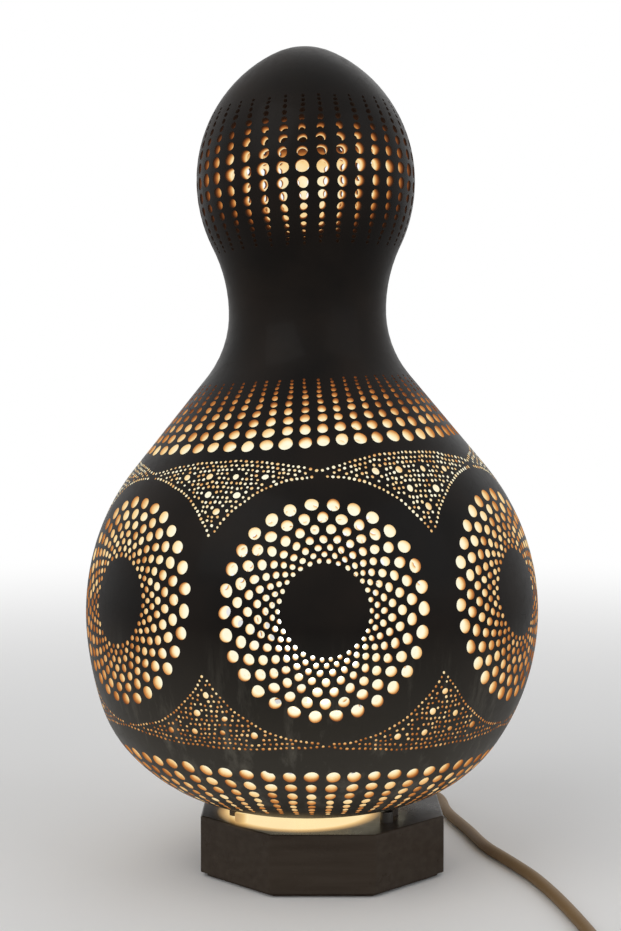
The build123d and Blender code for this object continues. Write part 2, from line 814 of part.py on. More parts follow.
with BuildPart() as lamp_cord:
    with BuildLine() as lamp_cord_line:
        FilletPolyline(*lamp_cord_route, radius=corner_radii(lamp_cord_route))
    with BuildSketch(Plane(origin=lamp_cord_line.wire() @ 0, z_dir=lamp_cord_line.wire() % 0)):
        Circle(cord_radius)
    sweep(path=lamp_cord_line.wire())
report_tube("lamp_cord", lamp_cord, cord_radius, lamp_cord_line.wire(), corner_radii(lamp_cord_route))

with BuildPart() as switch_cord:
    with BuildLine() as switch_cord_line:
        FilletPolyline(*switch_cord_route, radius=corner_radii(switch_cord_route))
    with BuildSketch(Plane(origin=switch_cord_line.wire() @ 0, z_dir=switch_cord_line.wire() % 0)):
        Circle(cord_radius)
    sweep(path=switch_cord_line.wire())
report_tube("switch_cord", switch_cord, cord_radius, switch_cord_line.wire(), corner_radii(switch_cord_route))

# The coil winds inwards on the table, climbs at its middle, and winds outwards on top of itself
with BuildPart() as cord_coil:
    with BuildLine() as coil_line:
        place = Vector(coil_x + coil_lead, coil_top_y, cord_radius)
        next_place = Vector(coil_x, coil_top_y, cord_radius)
        Line(place, next_place)
        for half_turn in range(2 * coil_half_turns + 1):
            place = next_place
            down = half_turn % 2 == 0
            steps_in = min(half_turn, 2 * coil_half_turns - half_turn)
            turn_radius = coil_outer_radius - steps_in * coil_pitch / 2
            climb = layer_rise if half_turn == coil_half_turns else 0
            next_place = place + Vector(0, -2 * turn_radius if down else 2 * turn_radius, climb)
            reach = hypot(turn_radius, climb / 2)
            side_place = (place + next_place) / 2 + Vector(-reach if down else reach, 0, 0)
            ThreePointArc(place, side_place, next_place)
        coil_end = next_place + Vector(coil_lead, 0, 0)
        Line(next_place, coil_end)
    with BuildSketch(Plane(origin=coil_line.wire() @ 0, z_dir=coil_line.wire() % 0)):
        Circle(cord_radius)
    sweep(path=coil_line.wire())
report_tube("cord_coil", cord_coil, cord_radius, coil_line.wire(), [coil_outer_radius - coil_half_turns * coil_pitch / 2])


# The least gap of the coil to itself, measured on points along its line
def least_gap(line, radius, samples):
    points = [line @ (step / samples) for step in range(samples + 1)]
    apart = int(samples * 8 * radius / line.length) + 1
    least = line.length
    for first in range(len(points) - apart):
        for second in range(first + apart, len(points)):
            least = min(least, (points[first] - points[second]).length)
    return least - 2 * radius


gap_samples = 1200
print("cord_coil least gap to itself", round(least_gap(coil_line.wire(), cord_radius, gap_samples), 3))

plug_axis_height = plug_thickness / 2
plug_y = coil_end.Y
plug_cord_route = [
    (coil_end.X, plug_y, coil_end.Z),
    (-51.5, plug_y, coil_end.Z),
    (-41.5, plug_y, 7.7),
    (-32, plug_y, plug_axis_height),
    (plug_tail_start_x, plug_y, plug_axis_height),
]
with BuildPart() as plug_cord:
    with BuildLine() as plug_cord_line:
        FilletPolyline(*plug_cord_route, radius=corner_radii(plug_cord_route))
    with BuildSketch(Plane(origin=plug_cord_line.wire() @ 0, z_dir=plug_cord_line.wire() % 0)):
        Circle(cord_radius)
    sweep(path=plug_cord_line.wire())
report_tube("plug_cord", plug_cord, cord_radius, plug_cord_line.wire(), corner_radii(plug_cord_route))

cord_lengths = [lamp_cord_line, switch_cord_line, coil_line, plug_cord_line]
print("free cord in all", round(sum(stretch.wire().length for stretch in cord_lengths), 1))

plug_rear_x = plug_tail_start_x + plug_tail_length
plug_front_x = plug_rear_x + plug_length
with BuildPart() as plug_body:
    with BuildSketch(Plane(origin=(plug_front_x, plug_y, plug_axis_height), x_dir=(0, 1, 0), z_dir=(-1, 0, 0))):
        SlotOverall(plug_width, plug_thickness)
    extrude(amount=plug_straight)
    fillet(plug_body.faces().sort_by(Axis.X)[-1].edges(), pin_tip_edge)
    shoulder_x = plug_front_x - plug_straight
    with BuildSketch(Plane(origin=(shoulder_x, plug_y, plug_axis_height), x_dir=(0, 1, 0), z_dir=(-1, 0, 0))):
        SlotOverall(plug_width, plug_thickness)
    with BuildSketch(Plane(origin=(plug_rear_x, plug_y, plug_axis_height), x_dir=(0, 1, 0), z_dir=(-1, 0, 0))):
        SlotOverall(plug_rear_width, plug_rear_thickness)
    loft()
    with BuildSketch(Plane(origin=(plug_rear_x, plug_y, plug_axis_height), z_dir=(-1, 0, 0))):
        Circle(plug_rear_thickness / 2)
    with BuildSketch(Plane(origin=(plug_tail_start_x, plug_y, plug_axis_height), z_dir=(-1, 0, 0))):
        Circle(plug_tail_radius)
    loft()

with BuildPart() as plug_pins:
    with BuildSketch(Plane(origin=(plug_front_x, plug_y, plug_axis_height), x_dir=(0, 1, 0), z_dir=(1, 0, 0))):
        with Locations((pin_spread / 2, 0), (-pin_spread / 2, 0)):
            Circle(pin_radius)
    extrude(amount=pin_length)
    chamfer(plug_pins.faces().group_by(Axis.X)[-1].edges(), pin_tip_edge)

# The switch's case is split level with the cord, with a pocket in each half
case_floor = Plane(origin=(switch_x, switch_y, 0))
case_split = Plane(origin=(switch_x, switch_y, switch_axis_height))
case_side = Plane(origin=(switch_x, switch_y, 0), x_dir=(1, 0, 0), z_dir=(0, -1, 0))
case_ends = Plane(origin=(switch_x, switch_y, switch_axis_height), x_dir=(0, 1, 0), z_dir=(1, 0, 0))
inner_length = switch_length - 2 * switch_wall
inner_width = switch_width - 2 * switch_wall
inner_corner_radius = switch_corner_radius - switch_wall
rocker_opening_half = (
    rocker_half_length * cos(rocker_turn)
    + (rocker_crest + rocker_half_length * sin(rocker_turn) / cos(rocker_turn)) * sin(rocker_turn)
    + rocker_gap
)

with BuildPart() as switch_case_bottom:
    with BuildSketch(case_floor):
        RectangleRounded(switch_length, switch_width, switch_corner_radius)
    extrude(amount=switch_axis_height)
    fillet(switch_case_bottom.faces().sort_by(Axis.Z)[0].edges(), switch_edge_radius / 2)
    with BuildSketch(case_floor.offset(switch_wall)):
        RectangleRounded(inner_length, inner_width, inner_corner_radius)
    extrude(amount=switch_axis_height - switch_wall, mode=Mode.SUBTRACT)
    with BuildSketch(case_floor.offset(switch_wall)):
        with Locations((post_spread, 0), (-post_spread, 0)):
            Circle(post_radius)
    extrude(amount=switch_axis_height - 2 * switch_wall - guard_head_radius + guard_hole_radius)
    with BuildSketch(case_floor):
        with Locations((post_spread, 0), (-post_spread, 0)):
            Circle(case_screw_radius + slip_gap)
    extrude(amount=switch_axis_height, mode=Mode.SUBTRACT)
    with BuildSketch(case_floor):
        with Locations((post_spread, 0), (-post_spread, 0)):
            Circle(case_screw_head_radius + slip_gap)
    extrude(amount=case_screw_head_height + slip_gap, mode=Mode.SUBTRACT)
    with BuildSketch(case_ends):
        Circle(guard_hole_radius)
    extrude(amount=switch_length, both=True, mode=Mode.SUBTRACT)


with BuildPart() as switch_case_top:
    with BuildSketch(case_split):
        RectangleRounded(switch_length, switch_width, switch_corner_radius)
    extrude(amount=switch_height - switch_axis_height)
    fillet(switch_case_top.faces().sort_by(Axis.Z)[-1].edges(), switch_edge_radius)
    with BuildSketch(case_split):
        RectangleRounded(inner_length, inner_width, inner_corner_radius)
    extrude(amount=switch_height - switch_axis_height - switch_wall, mode=Mode.SUBTRACT)
    with BuildSketch(case_split):
        with Locations((post_spread, 0), (-post_spread, 0)):
            Circle(post_radius)
    extrude(amount=switch_height - switch_axis_height - switch_wall / 2)
    with BuildSketch(case_split):
        with Locations((post_spread, 0), (-post_spread, 0)):
            Circle(case_screw_radius + slip_gap)
    extrude(amount=case_screw_bite + slip_gap, mode=Mode.SUBTRACT)
    with BuildSketch(case_floor.offset(switch_pivot_height - cheek_half_length)):
        with Locations((0, cheek_y), (0, -cheek_y)):
            Rectangle(2 * cheek_half_length, cheek_thickness)
    extrude(amount=switch_height - switch_wall / 2 - switch_pivot_height + cheek_half_length)
    with BuildSketch(case_split):
        Rectangle(2 * rocker_opening_half, rocker_width + 2 * rocker_gap)
    extrude(amount=switch_height, mode=Mode.SUBTRACT)
    with BuildSketch(case_side):
        with Locations((0, switch_pivot_height)):
            Circle(pivot_radius + slip_gap)
    extrude(amount=cheek_y + cheek_thickness / 2, both=True, mode=Mode.SUBTRACT)
    with BuildSketch(case_ends):
        Circle(guard_hole_radius)
    extrude(amount=switch_length, both=True, mode=Mode.SUBTRACT)

# The rocker rests tipped to one side, about its pivot
rocker_plane = Plane(
    origin=(switch_x, switch_y, switch_pivot_height),
    x_dir=(cos(rocker_turn), 0, -sin(rocker_turn)),
    z_dir=(0, -1, 0),
)
rocker_end_height = rocker_crest + rocker_half_length * sin(rocker_turn) / cos(rocker_turn)
with BuildPart() as switch_rocker:
    with BuildSketch(rocker_plane):
        with BuildLine():
            Polyline(
                (-rocker_half_length, rocker_end_height),
                (0, rocker_crest),
                (rocker_half_length, rocker_end_height),
                (rocker_half_length, rocker_end_height - 2 * rocker_skirt),
                (rocker_hub, -rocker_hub / 2),
                (-rocker_hub, -rocker_hub / 2),
                (-rocker_half_length, rocker_end_height - 2 * rocker_skirt),
                close=True,
            )
        make_face()
        Circle(rocker_hub)
        Circle(pivot_radius + fit_gap, mode=Mode.SUBTRACT)
    extrude(amount=rocker_width / 2, both=True)

with BuildPart() as switch_pivot:
    with BuildSketch(case_side):
        with Locations((0, switch_pivot_height)):
            Circle(pivot_radius)
    extrude(amount=cheek_y + cheek_thickness / 2, both=True)

with BuildPart() as switch_contacts:
    with BuildSketch(case_floor.offset(switch_wall)):
        with Locations((terminal_x_spread, 0), (-terminal_x_spread, 0)):
            Rectangle(terminal_length, terminal_width)
    extrude(amount=terminal_height)

with BuildPart() as switch_screws:
    with BuildSketch(case_floor):
        with Locations((post_spread, 0), (-post_spread, 0)):
            Circle(case_screw_head_radius)
    extrude(amount=case_screw_head_height)
    with BuildSketch(case_floor):
        with Locations((post_spread, 0), (-post_spread, 0)):
            Circle(case_screw_radius)
    extrude(amount=switch_axis_height + case_screw_bite)

with BuildPart() as cord_guards:
    with BuildSketch(case_side):
        with BuildLine():
            Polyline(
                (switch_length / 2 - switch_wall - guard_head_thickness, switch_axis_height),
                (switch_length / 2 - switch_wall - guard_head_thickness, switch_axis_height + guard_head_radius),
                (switch_length / 2 - switch_wall, switch_axis_height + guard_head_radius),
                (switch_length / 2 - switch_wall, switch_axis_height + guard_root_radius),
                (switch_length / 2, switch_axis_height + guard_root_radius),
                (switch_length / 2 + guard_length, switch_axis_height + guard_tip_radius),
                (switch_length / 2 + guard_length, switch_axis_height),
                close=True,
            )
        make_face()
    revolve(axis=Axis((switch_x, switch_y, switch_axis_height), (1, 0, 0)))
    mirror(about=Plane(origin=(switch_x, switch_y, switch_axis_height), z_dir=(1, 0, 0)))

pieces = {
    "gourd_shell": gourd_shell,
    "foot_pad": foot_pad,
    "octagonal_base": octagonal_base,
    "base_cover": base_cover,
    "cover_screws": cover_screws,
    "spacer_pads": spacer_pads,
    "locating_pegs": locating_pegs,
    "holder_nipple": holder_nipple,
    "nipple_nuts": nipple_nuts,
    "nipple_washer": nipple_washer,
    "lamp_holder_shell": lamp_holder_shell,
    "holder_core": holder_core,
    "holder_rivets": holder_rivets,
    "holder_sleeve": holder_sleeve,
    "holder_contact": holder_contact,
    "bulb_contact": bulb_contact,
    "bulb_insulator": bulb_insulator,
    "bulb_cap": bulb_cap,
    "bulb_glass": bulb_glass,
    "bulb_stem": bulb_stem,
    "bulb_filaments": bulb_filaments,
    "terminal_block": terminal_block,
    "terminal_screws": terminal_screws,
    "live_lead": live_lead,
    "neutral_lead": neutral_lead,
    "cord_clamp": cord_clamp,
    "clamp_screws": clamp_screws,
    "cord_bushing": cord_bushing,
    "cord_tail": cord_tail,
    "lamp_cord": lamp_cord,
    "switch_case_bottom": switch_case_bottom,
    "switch_case_top": switch_case_top,
    "switch_rocker": switch_rocker,
    "switch_pivot": switch_pivot,
    "switch_contacts": switch_contacts,
    "switch_screws": switch_screws,
    "cord_guards": cord_guards,
    "switch_cord": switch_cord,
    "cord_coil": cord_coil,
    "plug_cord": plug_cord,
    "plug_body": plug_body,
    "plug_pins": plug_pins,
}
for name, piece in pieces.items():
    piece.part.label = name
    export_step(piece.part, f"parts/{name}.step", write_pcurves=False)
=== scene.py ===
import json
from math import acos, asin, atan2, cos, hypot, pi, radians, sin, sqrt

import bpy
import numpy as np
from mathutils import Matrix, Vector
from mathutils.geometry import delaunay_2d_cdt


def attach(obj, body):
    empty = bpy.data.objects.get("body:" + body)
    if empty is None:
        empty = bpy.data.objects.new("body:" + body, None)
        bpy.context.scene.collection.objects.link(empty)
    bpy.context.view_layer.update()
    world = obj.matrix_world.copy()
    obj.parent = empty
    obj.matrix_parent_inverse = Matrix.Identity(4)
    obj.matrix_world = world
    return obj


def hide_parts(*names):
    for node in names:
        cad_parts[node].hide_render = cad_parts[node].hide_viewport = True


# A gourd lamp in metres, +Z up, on the same origin as the frame: on the table under the base.
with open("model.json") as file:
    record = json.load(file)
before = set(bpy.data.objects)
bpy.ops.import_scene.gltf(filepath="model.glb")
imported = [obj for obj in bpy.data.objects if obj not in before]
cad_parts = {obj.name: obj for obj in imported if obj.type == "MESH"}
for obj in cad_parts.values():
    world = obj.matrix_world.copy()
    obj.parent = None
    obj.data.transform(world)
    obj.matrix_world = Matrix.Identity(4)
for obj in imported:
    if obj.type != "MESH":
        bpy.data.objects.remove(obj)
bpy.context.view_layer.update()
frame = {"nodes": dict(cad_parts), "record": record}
print("frame loaded")

# The focal length is in the photograph's pixels, and its height is its longer side
photoView = {
    "height": 931, "focalPixels": 1600, "sensor": 36,
    "place": (-0.0054, -0.752, 0.220), "downTurn": 2.41, "clipNear": 0.02, "clipFar": 60,
}

cameraData = bpy.data.cameras.new("photoCamera")
cameraData.sensor_width = photoView["sensor"]
cameraData.lens = photoView["sensor"] * photoView["focalPixels"] / photoView["height"]
cameraData.clip_start, cameraData.clip_end = photoView["clipNear"], photoView["clipFar"]
cameraObject = bpy.data.objects.new("photoCamera", cameraData)
cameraObject.location = photoView["place"]
cameraObject.rotation_euler = (radians(90 - photoView["downTurn"]), 0, 0)
bpy.context.collection.objects.link(cameraObject)
bpy.context.scene.camera = cameraObject


# Small helpers for shader nodes, which stand in a row in the order in which they are made
nodePitch = 200


def addNode(tree, kind, **settings):
    node = tree.nodes.new("ShaderNode" + kind)
    node.location.x = nodePitch * len(tree.nodes)
    for name, value in settings.items():
        setattr(node, name, value)
    return node


def setInputs(node, values):
    for label, value in values.items():
        node.inputs[label].default_value = value


def connect(tree, *pairs):
    for source, target in pairs:
        tree.links.new(source, target)


def combine(tree, operation, first, second, **settings):
    node = addNode(tree, "Math", operation=operation, **settings)
    connect(tree, (first, node.inputs[0]), (second, node.inputs[1]))
    return node.outputs[0]


def remap(tree, value, before, after=(0, 1), **settings):
    node = addNode(tree, "MapRange", **settings)
    setInputs(node, dict(zip(("From Min", "From Max", "To Min", "To Max"), (*before, *after))))
    connect(tree, (value, node.inputs["Value"]))
    return node.outputs["Result"]


# Each of the two is a fixed colour or the output of another node
def mixColors(tree, factor, first, second):
    mix = addNode(tree, "Mix", data_type="RGBA")
    for label, color in (("A", first), ("B", second)):
        if isinstance(color, tuple):
            mix.inputs[label].default_value = (*color, 1)
        else:
            connect(tree, (color, mix.inputs[label]))
    connect(tree, (factor, mix.inputs["Factor"]))
    return mix.outputs["Result"]


def mixShaders(tree, factor, first, second, output):
    mix = addNode(tree, "MixShader")
    connect(tree, (factor, mix.inputs["Fac"]), (first.outputs[0], mix.inputs[1]),
            (second.outputs[0], mix.inputs[2]), (mix.outputs[0], output.inputs["Surface"]))


# Where a point is on its own piece, and the same as X, Y and Z apart
def objectPlace(tree):
    return addNode(tree, "TexCoord").outputs["Object"]


def objectAxes(tree):
    axes = addNode(tree, "SeparateXYZ")
    connect(tree, (objectPlace(tree), axes.inputs[0]))
    return axes.outputs


def addNoise(tree, vector, values):
    noise = addNode(tree, "TexNoise")
    setInputs(noise, values)
    connect(tree, (vector, noise.inputs["Vector"]))
    return noise


# Noise drawn out along the piece, for grain and scuffs
def addStreaks(tree, stretch, values):
    mapping = addNode(tree, "Mapping")
    mapping.inputs["Scale"].default_value = stretch
    connect(tree, (objectPlace(tree), mapping.inputs["Vector"]))
    return addNoise(tree, mapping.outputs["Vector"], values).outputs["Fac"]


def addBump(tree, shader, height, strength, distance):
    bump = addNode(tree, "Bump")
    setInputs(bump, {"Strength": strength, "Distance": distance})
    connect(tree, (height, bump.inputs["Height"]), (bump.outputs["Normal"], shader.inputs["Normal"]))


# Lets the shader give light of its own, in the colours of a ramp
def addGlow(tree, shader, factor, stops):
    ramp = addNode(tree, "ValToRGB")
    elements = ramp.color_ramp.elements
    for index, (spot, color) in enumerate(stops):
        element = elements[index] if index < 2 else elements.new(spot)
        element.position, element.color = spot, (*color, 1)
    connect(tree, (factor, ramp.inputs["Fac"]), (ramp.outputs["Color"], shader.inputs["Emission Color"]))
    shader.inputs["Emission Strength"].default_value = 1.0


# Effects that several finishes share, each a group that is made once
def addGroup(name, inputs, outputs):
    group = bpy.data.node_groups.new(name, "ShaderNodeTree")
    for label, value in inputs.items():
        socket = group.interface.new_socket(name=label, in_out="INPUT", socket_type="NodeSocketFloat")
        socket.default_value = value
    for label in outputs:
        group.interface.new_socket(name=label, in_out="OUTPUT", socket_type="NodeSocketFloat")
    return group, group.nodes.new("NodeGroupInput"), group.nodes.new("NodeGroupOutput")


def placeGroup(tree, group, **values):
    node = addNode(tree, "Group", node_tree=group)
    setInputs(node, values)
    return node


mottling = {"broadDetail": 4, "fineDetail": 3, "fineHeight": 0.35}
scratching = {"bendScale": 14, "bend": 0.12, "width": 0.012}


# Cloudy patches and fine speckle, both 0 to 1, with a height for a Bump node
def makeMottle():
    group, entry, leave = addGroup("mottle", {"Scale": 30.0, "Fine": 12.0}, ["Patches", "Speckle", "Height"])
    place = objectPlace(group)
    broad = addNoise(group, place, {"Detail": mottling["broadDetail"]})
    fine = addNoise(group, place, {"Detail": mottling["fineDetail"]})
    finer = combine(group, "MULTIPLY", entry.outputs["Scale"], entry.outputs["Fine"])
    height = addNode(group, "Math", operation="MULTIPLY_ADD")
    height.inputs[1].default_value = mottling["fineHeight"]
    connect(group, (entry.outputs["Scale"], broad.inputs["Scale"]), (finer, fine.inputs["Scale"]),
            (fine.outputs["Fac"], height.inputs[0]), (broad.outputs["Fac"], height.inputs[2]),
            (broad.outputs["Fac"], leave.inputs["Patches"]), (fine.outputs["Fac"], leave.inputs["Speckle"]),
            (height.outputs[0], leave.inputs["Height"]))
    return group


# Thin hairline scratches that run every way, 1 on a scratch
def makeHairlines():
    group, entry, leave = addGroup("hairlines", {"Scale": 60.0}, ["Lines"])
    place = objectPlace(group)
    bend = addNoise(group, place, {"Scale": scratching["bendScale"]})
    bent = addNode(group, "Mix", data_type="VECTOR")
    bent.inputs["Factor"].default_value = scratching["bend"]
    cells = addNode(group, "TexVoronoi", feature="DISTANCE_TO_EDGE")
    connect(group, (place, bent.inputs["A"]), (bend.outputs["Color"], bent.inputs["B"]),
            (bent.outputs["Result"], cells.inputs["Vector"]), (entry.outputs["Scale"], cells.inputs["Scale"]))
    lines = remap(group, cells.outputs["Distance"], (0, scratching["width"]), (1, 0))
    connect(group, (lines, leave.inputs["Lines"]))
    return group


mottle = makeMottle()
hairlines = makeHairlines()


def startMaterial(name, color, roughness, metallic=0.0):
    material = bpy.data.materials.new(name)
    material.use_nodes = True
    tree = material.node_tree
    shader = tree.nodes["Principled BSDF"]
    setInputs(shader, {"Base Color": (*color, 1), "Roughness": roughness, "Metallic": metallic})
    return material, tree, shader


plainSurface = {"smoothest": 0.8, "roughest": 1.25, "bumpDepth": 0.0002}


# A moulded, turned or plated finish: two close tones, uneven gloss and a fine surface
def plainFinish(name, color, roughness, metallic=0.0, scale=40.0, tone=0.75, bump=0.1):
    material, tree, shader = startMaterial(name, color, roughness, metallic)
    cloud = placeGroup(tree, mottle, Scale=scale)
    tones = mixColors(tree, cloud.outputs["Patches"], color, tuple(part * tone for part in color))
    gloss = remap(tree, cloud.outputs["Speckle"], (0, 1), (
        roughness * plainSurface["smoothest"], min(1, roughness * plainSurface["roughest"])))
    connect(tree, (tones, shader.inputs["Base Color"]), (gloss, shader.inputs["Roughness"]))
    addBump(tree, shader, cloud.outputs["Height"], bump, plainSurface["bumpDepth"])
    return material


# The gourd's outline, in the same arcs as the solid's
gourd = {
    "bellyRadius": 0.106, "heelAngle": 35, "heelArc": 0.068, "mouthRadius": 0.045, "wall": 0.0045,
    "neckRadius": 0.0368, "neckRise": 0.1392, "shoulderArcShare": 0.685,
    "lobeRadius": 0.0509, "lobeRise": 0.0606, "crownRise": 0.0622, "crownAngle": 63.7,
    "bellyOffset": -0.005, "lean": 0.75, "baseTop": 0.028, "seatGap": 0.0046,
    "tableSteps": 500, "normalStep": 0.0004, "tipRadius": 0.002,
}


# A table of the outline: distance along the skin, radius, height and slope
def gourdOutline():
    belly, heel, neck, lobe = (gourd[key] for key in ("bellyRadius", "heelArc", "neckRadius", "lobeRadius"))
    heelTurn, crownTurn = radians(gourd["heelAngle"]), radians(gourd["crownAngle"])
    heelCentre = ((belly - heel) * cos(heelTurn), -(belly - heel) * sin(heelTurn))
    mouthDepth = sqrt(heel**2 - (gourd["mouthRadius"] - heelCentre[0]) ** 2) - heelCentre[1]
    widest = (neck**2 + gourd["neckRise"] ** 2 - belly**2) / (2 * (belly - neck))
    waist = gourd["shoulderArcShare"] * widest
    waistCentre = (neck + waist, gourd["neckRise"])
    turn = asin((belly + waist) / hypot(*waistCentre)) - atan2(*waistCentre)
    lobeHeight = gourd["neckRise"] + gourd["lobeRise"]
    flareDepth = lobe - neck
    flare = (flareDepth**2 + gourd["lobeRise"] ** 2) / (4 * flareDepth)
    flareTurn = asin(gourd["lobeRise"] / (2 * flare))
    crownSlope, slant = sin(crownTurn) / cos(crownTurn), 1 / cos(crownTurn)
    dome = (gourd["crownRise"] + lobe * (crownSlope - slant)) / (1 + crownSlope - slant)
    capHeight = lobeHeight + (dome - lobe) * crownSlope
    cap = dome - (dome - lobe) / cos(crownTurn)
    # centre, radius (below zero where the skin is hollow), first and last slope
    arcs = [
        (heelCentre, heel, -acos((gourd["mouthRadius"] - heelCentre[0]) / heel), -heelTurn),
        ((0, 0), belly, -heelTurn, turn),
        (waistCentre, -waist, turn, 0),
        ((neck + flare, gourd["neckRise"]), -flare, 0, -flareTurn),
        ((lobe - flare, lobeHeight), flare, -flareTurn, 0),
        ((lobe - dome, lobeHeight), dome, 0, crownTurn),
        ((0, capHeight), cap, crownTurn, pi / 2),
    ]
    rows, joints, along = [], [], 0
    for centre, radius, first, last in arcs:
        slopes = np.linspace(first, last, gourd["tableSteps"])
        spots = np.column_stack((centre[0] + radius * np.cos(slopes), centre[1] + radius * np.sin(slopes)))
        if rows:
            along += hypot(*(spots[0] - rows[-1][-1, 1:3]))
        joints.append(along)
        away = along + abs(radius) * np.abs(slopes - first)
        rows.append(np.column_stack((away, spots, slopes)))
        along = away[-1]
    return np.vstack(rows), joints + [along], mouthDepth


outline, joints, mouthDepth = gourdOutline()
heelEnd, flareStart, lobeMiddle, crown = (joints[index] for index in (1, 4, 5, 7))
bellyRadius = gourd["bellyRadius"]
bellyEnd = float(outline[2 * gourd["tableSteps"] - 1, 0])
bellyMiddle = heelEnd + bellyRadius * radians(gourd["heelAngle"])
lean = radians(gourd["lean"])
gourdHeight = gourd["baseTop"] + gourd["seatGap"] + mouthDepth * cos(lean)


def skinRadius(along):
    return np.interp(along, outline[:, 0], outline[:, 1])


# The grown shape isn't quite round on its left: each swelling, with its middle and span along the skin
growth = ((-0.0003, 0.122, 0.045), (0.0012, 0.060, 0.022))

# The hand-drilled rows wander. A band has its middle, its span, and its rise on the right and in front.
# The crowding has degrees for these, and a turn of the whole. A wave has count, pitch, phase and reach.
wander = {
    "bands": ((0.053, 0.030, -0.0034, 0.0018), (0.215, 0.030, 0.0056, 0.0007),
              (0.340, 0.045, 0.0026, 0.0004)),
    "crowd": (0.128, 0.055, -3.33, -0.74, 0.90), "lobeTurn": (0.340, 0.050, -1.1),
    "waves": ((7, 120, 0.4, 0.00022), (17, -260, 1.9, 0.00018),
              (31, 310, 4.1, 0.00014), (46, -520, 2.6, 0.00010)),
    "leastRadius": 0.02, "crownFade": 0.04, "mouthFade": 0.006,
}


# A soft hump along the skin, 1 in its middle
def hump(along, middle, span):
    return np.exp(-(((along - middle) / span) ** 2))


def moveRows(azimuth, along):
    upward = np.zeros_like(along)
    for middle, span, right, front in wander["bands"]:
        upward += hump(along, middle, span) * (right * np.sin(azimuth) + front * np.cos(azimuth))
    middle, span, right, front, turn = wander["crowd"]
    crowd = hump(along, middle, span) * (right * np.sin(azimuth) + front * np.cos(azimuth) + turn)
    # the lobe's columns at the back don't stand straight behind those in front
    middle, span, turn = wander["lobeTurn"]
    crowd += turn * hump(along, middle, span) * (1 - np.cos(azimuth))
    wide = np.maximum(skinRadius(along), wander["leastRadius"])
    sideways = np.radians(crowd) * wide
    for count, pitch, phase, reach in wander["waves"]:
        upward += reach * np.sin(count * azimuth + pitch * along + phase)
        sideways += reach * np.cos(count * azimuth - pitch * along + 2 * phase)
    fade = np.clip((crown - along) / wander["crownFade"], 0, 1) * np.clip(along / wander["mouthFade"], 0, 1)
    return azimuth + fade * sideways / wide, along + fade * upward


def skinPoint(azimuth, along, inset):
    radius, height, slope = (np.interp(along, outline[:, 0], outline[:, column]) for column in (1, 2, 3))
    leftness = (1 - np.sin(azimuth)) / 2
    for swelling, middle, span in growth:
        radius = radius + leftness * swelling * 2 * hump(along, middle, span)
    radius = radius - inset * np.cos(slope)
    height = height - inset * np.sin(slope)
    x, y = radius * np.sin(azimuth), -radius * np.cos(azimuth)
    return np.column_stack((
        gourd["bellyOffset"] + cos(lean) * x - sin(lean) * height, y,
        gourdHeight + sin(lean) * x + cos(lean) * height))


def skinNormal(azimuth, along):
    step = gourd["normalStep"]
    along = np.minimum(along, crown - 4 * step)
    turn = step / np.maximum(skinRadius(along), gourd["tipRadius"])
    across = skinPoint(azimuth + turn, along, 0) - skinPoint(azimuth - turn, along, 0)
    up = skinPoint(azimuth, along + step, 0) - skinPoint(azimuth, along - step, 0)
    normal = np.cross(across, up)
    return normal / np.linalg.norm(normal, axis=1)[:, None]


# Cut sheets: flat charts of the skin with holes in them, which are later bent round the gourd.
# The wider a hole is, the more sides it has.
cutting = {
    "sides": ((0.0048, 18), (0.0034, 15), (0.0022, 12), (0.0012, 9), (0, 7)),
    "weld": 1e-7, "digits": 7, "tiny": 1e-12,
    "filler": 0.0045, "stagger": 0.25, "clearShare": 0.22, "edgeGap": 0.0015,
    "shades": (0.55, 1.15), "shadeSeed": 11,
}


# A round hole as chart points; squeeze is the chart's width over the real width there
def holeRing(x, y, width, squeeze=1.0, turn=0.0):
    count = next(number for least, number in cutting["sides"] if width >= least)
    angles = [turn + 2 * pi * step / count for step in range(count)]
    return [(x + width / 2 * squeeze * cos(angle), y + width / 2 * sin(angle)) for angle in angles]


def cutSheet(border, rings, fillers):
    points, faces = list(border), [list(range(len(border)))]
    for ring in rings:
        faces.append(list(range(len(points), len(points) + len(ring))))
        points += ring
    points += fillers
    found, _, triangles, sources, _, faceSources = delaunay_2d_cdt(
        [Vector(point) for point in points], [], faces, 1, cutting["weld"])
    place = {old: new for new, olds in enumerate(sources) for old in olds}
    # a triangle that also comes from a ring lies in a hole
    kept = [corners for corners, origin in zip(triangles, faceSources) if all(face == 0 for face in origin)]
    walls, centres = [], []
    for ring, face in zip(rings, faces[1:]):
        walls += [(place[first], place[second]) for first, second in zip(face, face[1:] + face[:1])]
        centres += [np.mean(np.array(ring), axis=0)] * len(ring)
    return {"points": np.array([tuple(point) for point in found]), "triangles": np.array(kept),
            "walls": np.array(walls), "centres": np.array(centres)}


# Points that keep the sheet's triangles short, clear of its holes
def fillSheet(low, high, rings, allowed=lambda x, y: True):
    spacing = cutting["filler"]
    centres = np.array([np.mean(np.array(ring), axis=0) for ring in rings])
    reach = np.array([max(hypot(x - c[0], y - c[1]) for x, y in ring) for ring, c in zip(rings, centres)])
    clear = reach + spacing * cutting["clearShare"]
    columns, rows = (max(1, round((high[axis] - low[axis]) / spacing)) for axis in (0, 1))
    points = []
    for row in range(1, rows):
        shift = 0.5 + cutting["stagger"] * (row % 2 * 2 - 1)
        for column in range(columns):
            x = low[0] + (column + shift) * (high[0] - low[0]) / columns
            y = low[1] + row * (high[1] - low[1]) / rows
            if allowed(x, y) and (np.hypot(centres[:, 0] - x, centres[:, 1] - y) >= clear).all():
                points.append((x, y))
    return points


# The points between two heights at the side of a sheet, without the two ends
def between(x, low, high, steps):
    return [(x, low + (high - low) * step / steps) for step in range(1, steps)]


